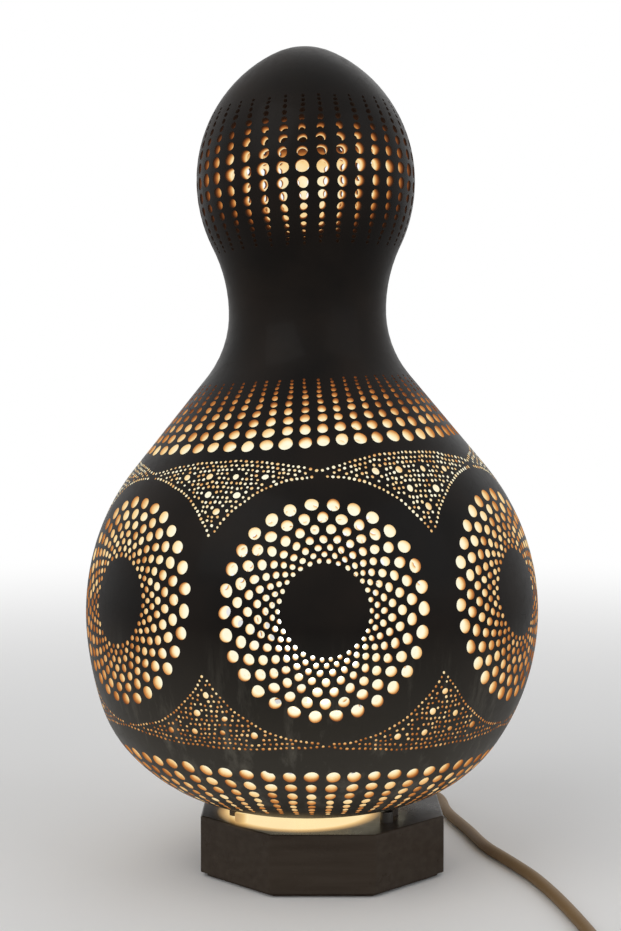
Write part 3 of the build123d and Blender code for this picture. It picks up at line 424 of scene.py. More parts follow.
def repeatSheet(sheet, count, pitch):
    copies = {key: [] for key in sheet}
    for step in range(count):
        for key in ("points", "centres"):
            copies[key].append(sheet[key] + (step * pitch, 0))
        for key in ("triangles", "walls"):
            copies[key].append(sheet[key] + step * len(sheet["points"]))
    return {key: np.vstack(parts) for key, parts in copies.items()}


# How brightly the lamp lights the flesh, by place along the skin or by distance from the lobe's middle:
# cream in the belly, amber in the lobe, dark at the crown. The outer value is at the bore's outer rim.
litBelly = {"along": (0, 0.03, 0.065, 0.10, 0.15, 0.19, 0.205, 0.225, 0.245, 0.27),
            "inner": (0.84, 0.97, 0.95, 0.95, 0.98, 0.98, 0.97, 0.85, 0.60, 0.36),
            "outer": (0.42, 0.52, 0.27, 0.40, 0.54, 0.58, 0.48, 0.32, 0.14, 0.06)}
litLobe = {"away": (-0.045, -0.033, -0.028, -0.022, -0.015, 0.0, 0.010, 0.0185, 0.0225, 0.026, 0.034),
           "inner": (0.10, 0.08, 0.24, 0.46, 0.58, 0.76, 0.72, 0.58, 0.28, 0.06, 0.0),
           "outer": (0.0, 0.0, 0.0, 0.0, 0.02, 0.05, 0.04, 0.01, 0.0, 0.0, 0.0)}


def glowAt(along, side):
    belly = np.interp(along, litBelly["along"], litBelly[side])
    lobe = np.interp(along - lobeMiddle, litLobe["away"], litLobe[side])
    return np.where(along < lobeMiddle + litLobe["away"][0], belly, lobe)


# The finishes of the gourd: its stained skin, and the flesh that the lamp lights
skinFinish = {
    "deep": (0.0048, 0.0038, 0.0032), "warm": (0.0125, 0.0088, 0.0066), "scale": 22, "patches": (0.38, 0.72),
    "gloss": (0.32, 0.48), "glossFrom": (0.45, 0.85), "scratchScale": 70, "scratchGloss": 0.5,
    # the paler tone low on the belly is a painted sheen, and the streaks are scuffs
    "paintedSheen": (0.060, 0.054, 0.044), "sheenBelow": (0.125, 0.062), "sheenMost": 0.85,
    "streak": (0.130, 0.120, 0.098), "streakStretch": (90, 90, 7), "streakFrom": (0.52, 0.70),
    "streakNoise": {"Scale": 1, "Detail": 6, "Roughness": 0.7},
    "shine": {"Specular IOR Level": 0.06, "Coat Weight": 0.03, "Coat Roughness": 0.12},
    "bump": (0.12, 0.0004),
}
fleshFinish = {
    "color": (0.02, 0.011, 0.007), "pale": (0.024, 0.013, 0.008), "dark": (0.014, 0.008, 0.005),
    "shine": {"Specular IOR Level": 0.2}, "scale": 160, "grainFrom": (0.4, 0.9), "grain": (0.86, 1.1),
    "bump": (0.3, 0.0004), "boreRoughness": 0.8, "innerRoughness": 0.85,
    "glow": ((0.0, (0.005, 0.003, 0.002)), (0.12, (0.020, 0.007, 0.003)), (0.26, (0.20, 0.055, 0.013)),
             (0.42, (0.60, 0.23, 0.052)), (0.60, (0.94, 0.66, 0.30)), (0.78, (1.0, 0.90, 0.61)),
             (1.0, (1.0, 0.965, 0.76))),
}


def makeSkin():
    look = skinFinish
    material, tree, shader = startMaterial("darkGourd", look["deep"], look["gloss"][0])
    cloud = placeGroup(tree, mottle, Scale=look["scale"])
    lines = placeGroup(tree, hairlines, Scale=look["scratchScale"])
    patch = remap(tree, cloud.outputs["Patches"], look["patches"])
    tone = mixColors(tree, patch, look["deep"], look["warm"])
    # the lower belly is painted paler toward the bottom as a sheen, with scuffs that run down it
    height = objectAxes(tree)["Z"]
    low = remap(tree, height, look["sheenBelow"], (0, look["sheenMost"]))
    paintedSheen = mixColors(tree, low, tone, look["paintedSheen"])
    streaks = addStreaks(tree, look["streakStretch"], look["streakNoise"])
    strand = remap(tree, streaks, look["streakFrom"])
    scuff = combine(tree, "MULTIPLY", low, strand)
    scuffed = mixColors(tree, scuff, paintedSheen, look["streak"])
    gloss = remap(tree, cloud.outputs["Height"], look["glossFrom"], look["gloss"])
    rough = addNode(tree, "Mix", data_type="FLOAT")
    rough.inputs["B"].default_value = look["scratchGloss"]
    connect(tree, (lines.outputs["Lines"], rough.inputs["Factor"]), (gloss, rough.inputs["A"]),
            (scuffed, shader.inputs["Base Color"]), (rough.outputs["Result"], shader.inputs["Roughness"]))
    setInputs(shader, look["shine"])
    addBump(tree, shader, cloud.outputs["Height"], *look["bump"])
    return material


# The glow attribute says how strongly the flesh is lit, point by point
def makeFlesh(name, roughness):
    look = fleshFinish
    material, tree, shader = startMaterial(name, look["color"], roughness)
    setInputs(shader, look["shine"])
    glow = addNode(tree, "Attribute", attribute_name="glow")
    cloud = placeGroup(tree, mottle, Scale=look["scale"])
    grain = remap(tree, cloud.outputs["Height"], look["grainFrom"], look["grain"])
    grained = combine(tree, "MULTIPLY", glow.outputs["Fac"], grain, use_clamp=True)
    addGlow(tree, shader, grained, look["glow"])
    tones = mixColors(tree, cloud.outputs["Patches"], look["pale"], look["dark"])
    connect(tree, (tones, shader.inputs["Base Color"]))
    addBump(tree, shader, cloud.outputs["Height"], *look["bump"])
    return material


gourdMaterials = (makeSkin(), makeFlesh("litBore", fleshFinish["boreRoughness"]),
                  makeFlesh("litFlesh", fleshFinish["innerRoughness"]))


# Drops the triangles that welding has closed up, and turns the others to look outward
def faceOutward(triangles, outer, normals):
    first, second, third = triangles.T
    triangles = triangles[(first != second) & (second != third) & (first != third)]
    facing = np.einsum("ij,ij->i", np.cross(
        outer[triangles[:, 1]] - outer[triangles[:, 0]], outer[triangles[:, 2]] - outer[triangles[:, 0]]),
        normals[triangles[:, 0]])
    triangles[facing < 0] = triangles[facing < 0][:, ::-1]
    return triangles


# An edge that only one triangle has is a rim: of a hole if it is among the walls, else of the sheet's end.
# The rims of holes come first, and each has its hole's centre.
def findRims(triangles, walls, wallCentres):
    edges = np.vstack((triangles[:, [0, 1]], triangles[:, [1, 2]], triangles[:, [2, 0]]))
    known = {(a, b) for a, b in edges.tolist()}
    rims = [edge for edge in known if (edge[1], edge[0]) not in known]
    middles = {}
    for (a, b), centre in zip(walls.tolist(), wallCentres):
        middles[(a, b)] = middles[(b, a)] = centre
    holeRims = [edge for edge in rims if edge in middles]
    endRims = [edge for edge in rims if edge not in middles]
    return np.array(holeRims + endRims), np.array([middles[edge] for edge in holeRims]).reshape(-1, 3)


# Round walls in the bores, and flat ones at the sheet's ends
def wallNormals(quads, vertices, normals, rimCentres):
    bores, corners = len(rimCentres), quads % len(normals)
    found = np.zeros((len(quads), 4, 3))
    toward = rimCentres[:, None, :] - vertices[corners[:bores]]
    axis = normals[corners[:bores]]
    toward -= np.einsum("ijk,ijk->ij", toward, axis)[:, :, None] * axis
    found[:bores] = toward / np.maximum(np.linalg.norm(toward, axis=2), cutting["tiny"])[:, :, None]
    ends = quads[bores:]
    flat = np.cross(vertices[ends[:, 1]] - vertices[ends[:, 0]], vertices[ends[:, 3]] - vertices[ends[:, 0]])
    flat /= np.maximum(np.linalg.norm(flat, axis=1), cutting["tiny"])[:, None]
    found[bores:] = flat[:, None, :]
    return found.reshape(-1, 3)


# The material slots are 0 for skin and ends, 1 for bores and 2 for the inner face
def buildMesh(name, vertices, outside, inside, quads, bores):
    loops = np.concatenate((outside.ravel(), inside.ravel(), quads.ravel()))
    lengths = np.concatenate((np.full(len(outside) + len(inside), 3), np.full(len(quads), 4)))
    starts = np.concatenate(((0,), np.cumsum(lengths)[:-1]))
    slots = np.repeat((0, 2, 1, 0), (len(outside), len(inside), bores, len(quads) - bores))
    mesh = bpy.data.meshes.new(name)
    mesh.vertices.add(len(vertices))
    mesh.vertices.foreach_set("co", vertices.ravel())
    mesh.loops.add(len(loops))
    mesh.loops.foreach_set("vertex_index", loops.astype(np.int32))
    mesh.polygons.add(len(lengths))
    for label, values in (("loop_start", starts), ("loop_total", lengths), ("material_index", slots)):
        mesh.polygons.foreach_set(label, values.astype(np.int32))
    mesh.polygons.foreach_set("use_smooth", np.ones(len(lengths), dtype=bool))
    mesh.update(calc_edges=True)
    return mesh


# Each bore is a little brighter or duller than its neighbours
def boreShades(sheet, walls, shades, size):
    uneven = np.ones(size)
    if len(walls):
        _, holeOf = np.unique(np.round(sheet["centres"], cutting["digits"]), axis=0, return_inverse=True)
        shadeOf = np.random.default_rng(cutting["shadeSeed"]).uniform(*shades, holeOf.max() + 1)
        uneven[walls[:, 0]] = shadeOf[holeOf.reshape(-1)]
    return uneven


# Bends a sheet round the gourd as one closed piece with an outer skin, an inner face, bores and end walls
def bendSheet(name, sheet, shades=cutting["shades"]):
    azimuth, along = moveRows(sheet["points"][:, 0], sheet["points"][:, 1])
    spots = np.round(skinPoint(azimuth, along, 0), cutting["digits"])
    _, order, welded = np.unique(spots, axis=0, return_index=True, return_inverse=True)
    welded = welded.reshape(-1)
    azimuth, along = azimuth[order], along[order]
    outer, inner = skinPoint(azimuth, along, 0), skinPoint(azimuth, along, gourd["wall"])
    normals = skinNormal(azimuth, along)
    triangles = faceOutward(welded[sheet["triangles"]], outer, normals)
    walls, size = welded[sheet["walls"]], len(outer)
    centres = moveRows(sheet["centres"][:, 0], sheet["centres"][:, 1])
    rims, rimCentres = findRims(triangles, walls, skinPoint(*centres, 0))
    quads = np.column_stack((rims[:, 1], rims[:, 0], rims[:, 0] + size, rims[:, 1] + size))
    vertices, inward = np.vstack((outer, inner)), triangles[:, ::-1]
    mesh = buildMesh(name, vertices, triangles, inward + size, quads, len(rimCentres))
    mesh.normals_split_custom_set(np.vstack((normals[triangles.ravel()], -normals[inward.ravel()],
                                             wallNormals(quads, vertices, normals, rimCentres))))
    outerGlow = glowAt(along, "outer") * boreShades(sheet, walls, shades, size)
    glow = mesh.attributes.new("glow", "FLOAT", "POINT")
    glow.data.foreach_set("value", np.append(outerGlow, glowAt(along, "inner")).astype(np.float32))
    for material in gourdMaterials:
        mesh.materials.append(material)
    piece = bpy.data.objects.new(name, mesh)
    bpy.context.collection.objects.link(piece)
    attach(piece, "gourd")
    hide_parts("gourd_shell")
    print(name, "holes cut, faces:", len(mesh.polygons))


# Each row's holes are narrower by the taper, and its distance from the last is a share of their width
rowTaper = {"taper": 0.85, "pitchShare": 1.27}
heel = {"holes": 60, "rows": 8, "widest": 0.0060, "start": 0.0004, "turn": -0.6, "border": 0.0605,
        "steps": 4}
shoulder = {"holes": 54, "rows": 10, "widest": 0.0058, "start": 0.0165, "turn": -1.5, "border": 0.2005,
            "steps": 4}
lobe = {"holes": 36, "rows": 9, "widest": 0.0059, "turn": -1.4, "crownGap": 0.004, "crownLevels": 12,
        "steps": 6}


# Rows whose holes shrink row by row and stand closer together as they do
def taperingRows(firstWidth, count, pitchShare=rowTaper["pitchShare"]):
    rows = [(0.0, firstWidth)]
    for _ in range(count - 1):
        distance, width = rows[-1]
        narrower = width * rowTaper["taper"]
        rows.append((distance + pitchShare * (width + narrower) / 2, narrower))
    return rows


# One column of a band, repeated all the way round
def makeBand(name, band, rows, low, high):
    pitch, steps = 2 * pi / band["holes"], band["steps"]
    left = radians(band["turn"]) - pitch / 2
    # the chart's width is an angle, so the sheet is cut on a stretched copy in metres
    scale = float(skinRadius(np.array([along for along, _ in rows])).max())
    rings = []
    for along, width in rows:
        ring = holeRing(left + pitch / 2, along, width, 1 / float(skinRadius(along)), pi / 2)
        rings.append([(x * scale, y) for x, y in ring])
    levels = max(2, round((high - low) / cutting["filler"]))
    across = [left + pitch * step / steps for step in range(steps + 1)]
    border = [(x * scale, low) for x in across] + between(across[-1] * scale, low, high, levels)
    border += [(x * scale, high) for x in reversed(across)]
    border += reversed(between(across[0] * scale, low, high, levels))
    fillers = fillSheet((left * scale, low), ((left + pitch) * scale, high), rings)
    sheet = cutSheet(border, rings, fillers)
    for key in ("points", "centres"):
        sheet[key] /= (scale, 1)
    bendSheet(name, repeatSheet(sheet, band["holes"], pitch))


heelRows = [(heelEnd - heel["start"] - distance, width)
            for distance, width in taperingRows(heel["widest"], heel["rows"])]
makeBand("gourdHeel", heel, heelRows, 0.0, heel["border"])

shoulderRows = [(bellyEnd + shoulder["start"] + distance, width)
                for distance, width in taperingRows(shoulder["widest"], shoulder["rows"])]
collar = (shoulderRows[-1][0] + flareStart) / 2
makeBand("gourdShoulder", shoulder, shoulderRows, shoulder["border"], collar)

lobeSide = taperingRows(lobe["widest"], lobe["rows"])
lobeRows = [(lobeMiddle + distance, width) for distance, width in lobeSide]
lobeRows += [(lobeMiddle - distance, width) for distance, width in lobeSide[1:]]
crownBorder = lobeMiddle + lobeSide[-1][0] + lobe["crownGap"]
makeBand("gourdLobe", lobe, lobeRows, collar, crownBorder)


# The crown closes over the top as plain rings, whose points meet the lobe's
def makeCrown():
    count, levels = lobe["steps"] * lobe["holes"], lobe["crownLevels"]
    first = radians(lobe["turn"]) - pi / lobe["holes"]
    points, triangles = [], []
    for level in range(levels + 1):
        along = crownBorder + (crown - crownBorder) * level / levels
        points += [(first + 2 * pi * step / count, along) for step in range(count + 1)]
    for level in range(levels):
        for step in range(count):
            a = level * (count + 1) + step
            triangles += [(a, a + 1, a + count + 2), (a, a + count + 2, a + count + 1)]
    bendSheet("gourdCrown", {
        "points": np.array(points), "triangles": np.array(triangles), "walls": np.zeros((0, 2), dtype=int),
        "centres": np.zeros((0, 2))})


makeCrown()

medallion = {
    "count": 6, "turn": 3.2, "rise": 6.8, "radius": 0.0450, "edge": 0.0500, "edgeSteps": 144,
    "holes": 30, "rings": 7, "widest": 0.0057, "pitchShare": 1.127,
}
wedge = 2 * pi / medallion["count"]
medallionRise = radians(medallion["rise"])
medallionHeight = bellyMiddle + bellyRadius * medallionRise


# Chart place of a point at this distance and turn from a medallion's middle
def fromMedallion(distance, turn):
    arc = distance / bellyRadius
    forward = cos(arc) * cos(medallionRise) - sin(arc) * sin(turn) * sin(medallionRise)
    right = sin(arc) * cos(turn)
    up = cos(arc) * sin(medallionRise) + sin(arc) * sin(turn) * cos(medallionRise)
    return atan2(right, forward), bellyMiddle + bellyRadius * asin(up)


# Distance on the belly from the middle of the medallion that stands at azimuth 0
def toMedallion(azimuth, along):
    rise = (along - bellyMiddle) / bellyRadius
    cosine = sin(rise) * sin(medallionRise) + cos(rise) * cos(medallionRise) * cos(azimuth)
    return bellyRadius * acos(max(-1, min(1, cosine)))


# The rings of one medallion are cut on a flat disc, which is then wrapped on the belly
def makeMedallions():
    rings = []
    rows = taperingRows(medallion["widest"], medallion["rings"], medallion["pitchShare"])
    for row, (inset, width) in enumerate(rows):
        away = medallion["radius"] - inset
        squash = sin(away / bellyRadius) / (away / bellyRadius)
        for step in range(medallion["holes"]):
            turn = 2 * pi * (step + row % 2 / 2) / medallion["holes"]
            ring = []
            for x, y in holeRing(0, 0, width):
                out, side = away + x, y / squash
                ring.append((out * cos(turn) - side * sin(turn), out * sin(turn) + side * cos(turn)))
            rings.append(ring)
    edge, steps = medallion["edge"], medallion["edgeSteps"]
    border = [(edge * cos(2 * pi * i / steps), edge * sin(2 * pi * i / steps)) for i in range(steps)]
    fillers = fillSheet((-edge, -edge), (edge, edge), rings,
                        lambda x, y: hypot(x, y) < edge - cutting["edgeGap"])
    sheet = cutSheet(border, rings, fillers)
    for key in ("points", "centres"):
        sheet[key] = np.array([fromMedallion(hypot(x, y), atan2(y, x)) for x, y in sheet[key]])
        sheet[key][:, 0] += radians(medallion["turn"])
    bendSheet("gourdMedallions", repeatSheet(sheet, medallion["count"], wedge))


makeMedallions()

# The medium holes stand at a distance from the wedge's middle and a place along the skin
lace = {
    "arc": 0.0588, "arcFlare": 0.0052, "arcPitch": 0.00235, "arcReach": 1.2, "arcGap": 0.0008,
    "leastAway": 0.001, "pastMiddle": 0.004, "tipGap": 0.0034,
    "rows": 16, "rowPitch": 0.00235, "pitch": 0.00245, "shake": 0.00038, "sideShare": 0.75,
    "small": 0.00132, "medium": 0.0030, "lowerShare": 0.92, "sizes": (0.86, 1.12), "gap": 0.00190,
    "top": 0.1898, "topBulge": 0.0070, "bottom": 0.0686, "bottomBulge": 0.0030, "bulgePower": 0.8,
    "seed": 7, "shades": (0.75, 1.70), "steps": 40, "rungs": 4,
    "upperMedium": ((-0.0185, 0.1885), (-0.007, 0.1885), (0.006, 0.188), (0.0195, 0.1878),
                    (-0.005, 0.1792), (0.009, 0.1788), (0.0015, 0.171)),
    "lowerMedium": ((0.0005, 0.0915), (-0.0045, 0.0826), (0.0085, 0.081),
                    (-0.0195, 0.0722), (-0.007, 0.0734), (0.007, 0.0733), (0.021, 0.0732)),
}


def addIfClear(holes, azimuth, along):
    wide, gap = float(skinRadius(along)), lace["gap"] - lace["small"] / 2
    if all(hypot((azimuth - a) * wide, along - s) > gap + width / 2 for a, s, width in holes):
        holes.append((azimuth, along, lace["small"]))


# Holes along the two arcs round the medallions, which open a little toward the tips of the triangles
def addArcs(holes, direction):
    for step in range(int(lace["arc"] * lace["arcReach"] / lace["arcPitch"])):
        turn = direction * (pi / 2 - (step + 0.5) * lace["arcPitch"] / lace["arc"])
        azimuth, along = fromMedallion(lace["arc"] + lace["arcFlare"] * (1 - abs(sin(turn))), turn)
        if azimuth > wedge / 2 + lace["pastMiddle"]:
            break
        if azimuth * bellyRadius >= lace["tipGap"]:
            for side in (azimuth, wedge - azimuth):
                addIfClear(holes, side, along)


def pastArc(azimuth, along):
    away = toMedallion(azimuth, along)
    lift = (along - medallionHeight) / max(away, lace["leastAway"])
    return away - lace["arc"] - lace["arcFlare"] * (1 - min(1, abs(lift)))


def laceEdge(azimuth, upper):
    share = max(0.0, sin(pi * azimuth / wedge)) ** lace["bulgePower"]
    if upper:
        return lace["top"] + lace["topBulge"] * share
    return lace["bottom"] - lace["bottomBulge"] * share


# Level rows, parallel to the outer edge
def addRows(holes, upper, direction, random):
    for row in range(lace["rows"]):
        wide = float(skinRadius(laceEdge(0, upper) - direction * row * lace["rowPitch"]))
        count = int(wedge * wide / lace["pitch"])
        for column in range(count):
            azimuth = wedge * (column + 0.5) / count
            along = laceEdge(azimuth, upper) - direction * row * lace["rowPitch"]
            if min(pastArc(azimuth, along), pastArc(azimuth - wedge, along)) < lace["arcGap"]:
                continue
            if row:
                azimuth += random.uniform(-1, 1) * lace["shake"] / wide
                along += random.uniform(-1, 1) * lace["shake"]
            if min(azimuth, wedge - azimuth) * wide >= lace["small"] * lace["sideShare"]:
                addIfClear(holes, azimuth, along)


# The wedge's outline on the chart, less the half discs of its two medallions
def laceBorder(low, high):
    steps, rungs, half = lace["steps"], lace["rungs"], medallion["edgeSteps"] // 2
    right = wedge * bellyRadius
    circle = [fromMedallion(medallion["edge"], -pi / 2 + pi * step / half) for step in range(half + 1)]
    discFoot, discTop = circle[0][1], circle[-1][1]
    border = [(right * step / steps, low) for step in range(steps + 1)]
    border += between(right, low, discFoot, rungs)
    border += [((wedge - azimuth) * bellyRadius, along) for azimuth, along in circle]
    border += between(right, discTop, high, rungs)
    border += [(right * (steps - step) / steps, high) for step in range(steps + 1)]
    border += between(0, high, discTop, rungs)
    border += [(azimuth * bellyRadius, along) for azimuth, along in reversed(circle)]
    return border + between(0, discFoot, low, rungs)


# One wedge of lace: from the middle of one medallion to the middle of the next, above and below them
def makeLace():
    random = np.random.default_rng(lace["seed"])
    holes = []
    for upper, direction, medium in ((True, 1, "upperMedium"), (False, -1, "lowerMedium")):
        for x, along in lace[medium]:
            holes.append((wedge / 2 + x / float(skinRadius(along)), along, lace["medium"]))
        addArcs(holes, direction)
        addRows(holes, upper, direction, random)
    rings = []
    for azimuth, along, width in holes:
        size = width * random.uniform(*lace["sizes"]) * (1 if along > medallionHeight else lace["lowerShare"])
        squeeze = bellyRadius / float(skinRadius(along))
        rings.append(holeRing(azimuth * bellyRadius, along, size, squeeze, random.uniform(0, 1)))
    low, high = heel["border"], shoulder["border"]
    nearest = medallion["edge"] + cutting["edgeGap"]

    def offDiscs(x, y):
        azimuth = x / bellyRadius
        return min(toMedallion(azimuth, y), toMedallion(azimuth - wedge, y)) > nearest

    fillers = fillSheet((0, low), (wedge * bellyRadius, high), rings, offDiscs)
    sheet = cutSheet(laceBorder(low, high), rings, fillers)
    for key in ("points", "centres"):
        sheet[key] = sheet[key] / (bellyRadius, 1) + (radians(medallion["turn"]), 0)
    print("lace holes in one wedge:", len(holes))
    bendSheet("gourdLace", repeatSheet(sheet, medallion["count"], wedge), lace["shades"])


makeLace()
print("gourd made")

# The cord: the same routes as the solid's, in metres
cord = {"diameter": 0.0055, "sides": 6, "steps": 6, "order": 3, "specular": 0.25}
lampRoute = [
    (0, 0.081, 0.013), (0, 0.097, 0.0125), (0.0015, 0.1105, 0.0108), (0.0095, 0.1245, 0.0082),
    (0.0245, 0.1335, 0.0056), (0.0425, 0.1338, 0.0036), (0.0575, 0.125, 0.00275), (0.066, 0.109, 0.00275),
    (0.0655, 0.082, 0.00275), (0.0745, 0.044, 0.00275), (0.079, 0.016, 0.00275), (0.086, -0.003, 0.00275),
    (0.091, -0.018, 0.00275), (0.097, -0.037, 0.00275), (0.1028, -0.068, 0.00275), (0.107, -0.099, 0.00275),
    (0.1092, -0.121, 0.00275), (0.1095, -0.139, 0.00275), (0.1033, -0.1542, 0.0036), (0.0917, -0.1658, 0.006),
    (0.0767, -0.172, 0.009), (0.062, -0.172, 0.009),
]
coil = {"x": -0.066, "top": -0.172, "radius": 0.040, "pitch": 0.006, "halfTurns": 5, "low": 0.00275,
        "rise": 0.006, "steps": 6, "outset": 0.9662}


# The coil's half circles step inwards on the table and outwards again on the layer above
def coilPoints():
    points, top, height = [], coil["top"], coil["low"]
    for half in range(2 * coil["halfTurns"] + 1):
        way = 1 if half % 2 == 0 else -1
        stepsIn = min(half, 2 * coil["halfTurns"] - half)
        radius = coil["radius"] - stepsIn * coil["pitch"] / 2
        reach = radius / coil["outset"]
        climb = coil["rise"] if half == coil["halfTurns"] else 0
        for step in range(coil["steps"]):
            share = (step + 0.5) / coil["steps"]
            turn = pi * share
            points.append((coil["x"] - way * reach * sin(turn), top - way * radius + way * reach * cos(turn),
                           height + climb * share))
        top -= 2 * way * radius
        height += climb
    return points


plugRoute = [(-0.020, -0.172, 0.009), (-0.030, -0.172, 0.009), (-0.0402, -0.172, 0.006),
             (-0.0506, -0.172, 0.00275), (-0.0605, -0.172, 0.00275)]
plugRoute += coilPoints()
plugRoute += [(-0.0605, -0.258, 0.00875), (-0.0515, -0.258, 0.00875), (-0.0415, -0.258, 0.0077),
              (-0.032, -0.258, 0.00685), (-0.024, -0.258, 0.00685)]

cordMaterial = plainFinish("cordSheath", (0.200, 0.122, 0.050), 0.55, scale=60, tone=0.8, bump=0.05)
cordMaterial.node_tree.nodes["Principled BSDF"].inputs["Specular IOR Level"].default_value = cord["specular"]


def makeCord(name, route, nodes):
    data = bpy.data.curves.new(name, "CURVE")
    data.dimensions = "3D"
    data.bevel_depth = cord["diameter"] / 2
    data.bevel_resolution = cord["sides"]
    data.resolution_u = cord["steps"]
    spline = data.splines.new("NURBS")
    spline.points.add(len(route) - 1)
    for point, place in zip(spline.points, route):
        point.co = (*place, 1)
    spline.order_u = cord["order"]
    spline.use_endpoint_u = True
    data.materials.append(cordMaterial)
    piece = bpy.data.objects.new(name, data)
    bpy.context.collection.objects.link(piece)
    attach(piece, "base")
    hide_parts(*nodes)
    return piece


lampCord = makeCord("lampCord", lampRoute, ["lamp_cord"])
plugCord = makeCord("plugCord", plugRoute, ["switch_cord", "cord_coil", "plug_cord"])
nodes = frame["nodes"]
print("cords laid")

# Lamplight that leaks under the gourd's rim, in front and behind, on to the base and the pads
leak = {
    "middle": (-0.0108, 0.014), "radii": (0.0315, 0.0405), "heights": (0.0265, 0.0277),
    "colors": ((0.0, (0, 0, 0)), (0.25, (0.020, 0.013, 0.006)), (0.60, (0.45, 0.26, 0.09)),
               (0.85, (0.80, 0.53, 0.21)), (1.0, (0.90, 0.69, 0.36))),
}


def makeLeak():
    group, _, leave = addGroup("leakedLight", {}, ["Light"])
    axes = objectAxes(group)
    depth = addNode(group, "Math", operation="ABSOLUTE")
    level = addNode(group, "CombineXYZ")
    away = addNode(group, "VectorMath", operation="DISTANCE")
    away.inputs[1].default_value = (*leak["middle"], 0)
    connect(group, (axes["Y"], depth.inputs[0]), (axes["X"], level.inputs["X"]),
            (depth.outputs[0], level.inputs["Y"]), (level.outputs[0], away.inputs[0]))
    near = remap(group, away.outputs["Value"], leak["radii"], (1, 0))
    high = remap(group, axes["Z"], leak["heights"])
    connect(group, (combine(group, "MULTIPLY", near, high), leave.inputs["Light"]))
    return group


leakedLight = makeLeak()


def addLeak(tree, shader):
    light = placeGroup(tree, leakedLight)
    addGlow(tree, shader, light.outputs["Light"], leak["colors"])


def makeBumper():
    material, tree, shader = startMaterial("clearBumper", (0.055, 0.048, 0.040), 0.3)
    addLeak(tree, shader)
    return material


lacquer = {
    "color": (0.048, 0.036, 0.028), "dark": (0.040, 0.030, 0.0225), "pale": (0.052, 0.0405, 0.031),
    "stretch": (1.0, 12.0, 12.0), "grain": {"Scale": 28, "Detail": 5}, "grainFrom": (0.35, 0.7),
    "roughness": 0.3, "cloudScale": 35, "gloss": (0.20, 0.36), "glossFrom": (0.45, 0.85),
    "shine": {"Specular IOR Level": 0.06, "Coat Weight": 0.01, "Coat Roughness": 0.1},
    "bump": (0.06, 0.0002),
}


# The lacquered base: a dark brown wood whose grain shows faintly under an uneven gloss
def makeLacquer():
    look = lacquer
    material, tree, shader = startMaterial("lacquer", look["color"], look["roughness"])
    grain = addStreaks(tree, look["stretch"], look["grain"])
    cloud = placeGroup(tree, mottle, Scale=look["cloudScale"])
    fibre = remap(tree, grain, look["grainFrom"])
    tones = mixColors(tree, fibre, look["dark"], look["pale"])
    gloss = remap(tree, cloud.outputs["Height"], look["glossFrom"], look["gloss"])
    connect(tree, (tones, shader.inputs["Base Color"]), (gloss, shader.inputs["Roughness"]))
    setInputs(shader, look["shine"])
    addBump(tree, shader, grain, *look["bump"])
    addLeak(tree, shader)
    return material


def makeGlow(name, color, roughness, lit, strength):
    material, _, shader = startMaterial(name, color, roughness)
    setInputs(shader, {"Emission Color": (*lit, 1), "Emission Strength": strength})
    return material


bulb = {
    "color": (0.9, 0.88, 0.82), "roughness": 0.3, "neckTop": 0.088, "ballFoot": 0.096,
    "neck": (0.38, 0.31, 0.19), "ball": (1.0, 1.0, 0.98), "strength": 2.5,
}


# The ball of the bulb is white hot to look at, and its neck no brighter than the flesh around it
def makeBulbGlass():
    material, tree, shader = startMaterial("bulbGlass", bulb["color"], bulb["roughness"])
    ball = remap(tree, objectAxes(tree)["Z"], (bulb["neckTop"], bulb["ballFoot"]))
    connect(tree, (mixColors(tree, ball, bulb["neck"], bulb["ball"]), shader.inputs["Emission Color"]))
    shader.inputs["Emission Strength"].default_value = bulb["strength"]
    return material


# The finishes of the CAD pieces that stay, by slot
brownPlastic = (0.110, 0.066, 0.032)
finishes = {
    "felt": plainFinish("feltPad", (0.055, 0.035, 0.022), 0.95, scale=300, bump=0.5),
    "board": plainFinish("coverBoard", (0.16, 0.10, 0.055), 0.8, scale=80),
    "steel": plainFinish("zincSteel", (0.55, 0.54, 0.52), 0.35, 1.0),
    "beech": plainFinish("stainedPeg", (0.060, 0.042, 0.030), 0.6, scale=90),
    # the lamp holder's plastic has a painted glow, for the bulb's light falling on it
    "holder_plastic": makeGlow("holderPaintedLamplight", (0.80, 0.77, 0.70), 0.4, (1.0, 0.86, 0.60), 0.5),
    "porcelain": plainFinish("porcelain", (0.80, 0.78, 0.72), 0.25),
    "brass": plainFinish("brass", (0.72, 0.50, 0.22), 0.3, 1.0),
    "solder": plainFinish("solder", (0.50, 0.50, 0.50), 0.4, 1.0),
    "black_glass": plainFinish("blackGlass", (0.01, 0.01, 0.012), 0.1),
    "nickel": plainFinish("nickel", (0.60, 0.57, 0.52), 0.3, 1.0),
    "white_plastic": plainFinish("whitePlastic", (0.80, 0.79, 0.76), 0.45),
    "brown_sleeve": plainFinish("brownSleeve", (0.12, 0.05, 0.02), 0.5),
    "blue_sleeve": plainFinish("blueSleeve", (0.03, 0.09, 0.30), 0.5),
    "cord_sheath": cordMaterial,
    "switch_plastic": plainFinish("switchPlastic", brownPlastic, 0.40),
    "rocker_plastic": plainFinish("rockerPlastic", (0.030, 0.018, 0.011), 0.3),
    "plug_plastic": plainFinish("plugPlastic", brownPlastic, 0.42),
    "clear_bumper": makeBumper(),
    "lacquered_wood": makeLacquer(),
    "bulb_glass": makeBulbGlass(),
    "filament": makeGlow("filament", (1.0, 0.75, 0.35), 0.4, (1.0, 0.75, 0.35), 8.0),
}

slotOf = {part["node"]: part["material_slot"] for part in frame["record"]["subparts"]}
replaced = {"gourd_shell", "lamp_cord", "switch_cord", "cord_coil", "plug_cord"}
for name, node in nodes.items():
    if name in replaced:
        continue
    node.data.materials.clear()
    node.data.materials.append(finishes[slotOf[name]])
print("finishes placed")

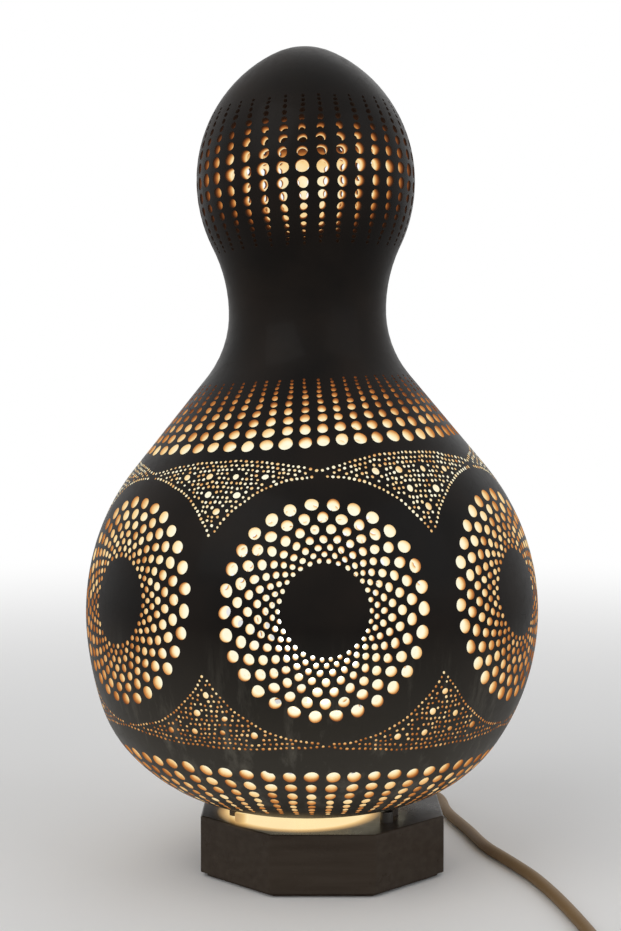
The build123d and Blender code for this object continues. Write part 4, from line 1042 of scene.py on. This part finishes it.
# A plain pale room with soft light, whose floor fades to white far from the lamp
room = {
    "floorSize": 12, "floorDrop": 0.0002, "floorColor": (0.80, 0.80, 0.80), "floorRoughness": 0.9,
    "fade": (0.30, 1.5), "white": (1, 1, 1, 1), "worldStrength": 0.55, "aim": (0, 0, 0.2),
    "lamps": (
        ("keyLight", (-1.6, -1.9, 2.2), 2.4, 34, (1.0, 0.99, 0.97)),
        ("fillLight", (2.1, -1.5, 1.6), 2.4, 16, (0.97, 0.98, 1.0)),
        ("rearLight", (0.6, 2.2, 2.0), 1.6, 5, (1.0, 1.0, 1.0)),
    ),
}


# The world is white where it is seen, straight or by way of metal and glass, and dimmer as a lamp
def makeWorld():
    world = bpy.data.worlds.new("room")
    bpy.context.scene.world = world
    world.use_nodes = True
    tree = world.node_tree
    background = tree.nodes["Background"]
    setInputs(background, {"Color": room["white"], "Strength": room["worldStrength"]})
    path = addNode(tree, "LightPath").outputs
    seen = combine(tree, "MAXIMUM", path["Is Camera Ray"], path["Is Glossy Ray"])
    seen = combine(tree, "MAXIMUM", seen, path["Is Transmission Ray"])
    plain = addNode(tree, "Background")
    setInputs(plain, {"Color": room["white"], "Strength": 1})
    mixShaders(tree, seen, background, plain, tree.nodes["World Output"])


def makeFloor():
    size = room["floorSize"] / 2
    mesh = bpy.data.meshes.new("floor")
    corners = [(-size, -size, 0), (size, -size, 0), (size, size, 0), (-size, size, 0)]
    mesh.from_pydata(corners, [], [(0, 1, 2, 3)])
    floor = bpy.data.objects.new("floor", mesh)
    floor.location.z = -room["floorDrop"]
    bpy.context.collection.objects.link(floor)
    material, tree, shader = startMaterial("paleFloor", room["floorColor"], room["floorRoughness"])
    away = addNode(tree, "VectorMath", operation="LENGTH")
    connect(tree, (objectPlace(tree), away.inputs[0]))
    far = remap(tree, away.outputs["Value"], room["fade"])
    smooth = remap(tree, far, (0, 1), interpolation_type="SMOOTHSTEP")
    path = addNode(tree, "LightPath")
    seen = combine(tree, "MULTIPLY", smooth, path.outputs["Is Camera Ray"])
    mixShaders(tree, seen, shader, addNode(tree, "Emission"), tree.nodes["Material Output"])
    mesh.materials.append(material)


def makeLamps():
    for name, place, size, power, color in room["lamps"]:
        data = bpy.data.lights.new(name, "AREA")
        data.size, data.energy, data.color = size, power, color
        lamp = bpy.data.objects.new(name, data)
        lamp.location = place
        lamp.rotation_euler = (Vector(room["aim"]) - Vector(place)).to_track_quat("-Z", "Y").to_euler()
        bpy.context.collection.objects.link(lamp)


makeWorld()
makeFloor()
makeLamps()
bpy.context.scene.view_settings.view_transform = "Standard"
print("room made")
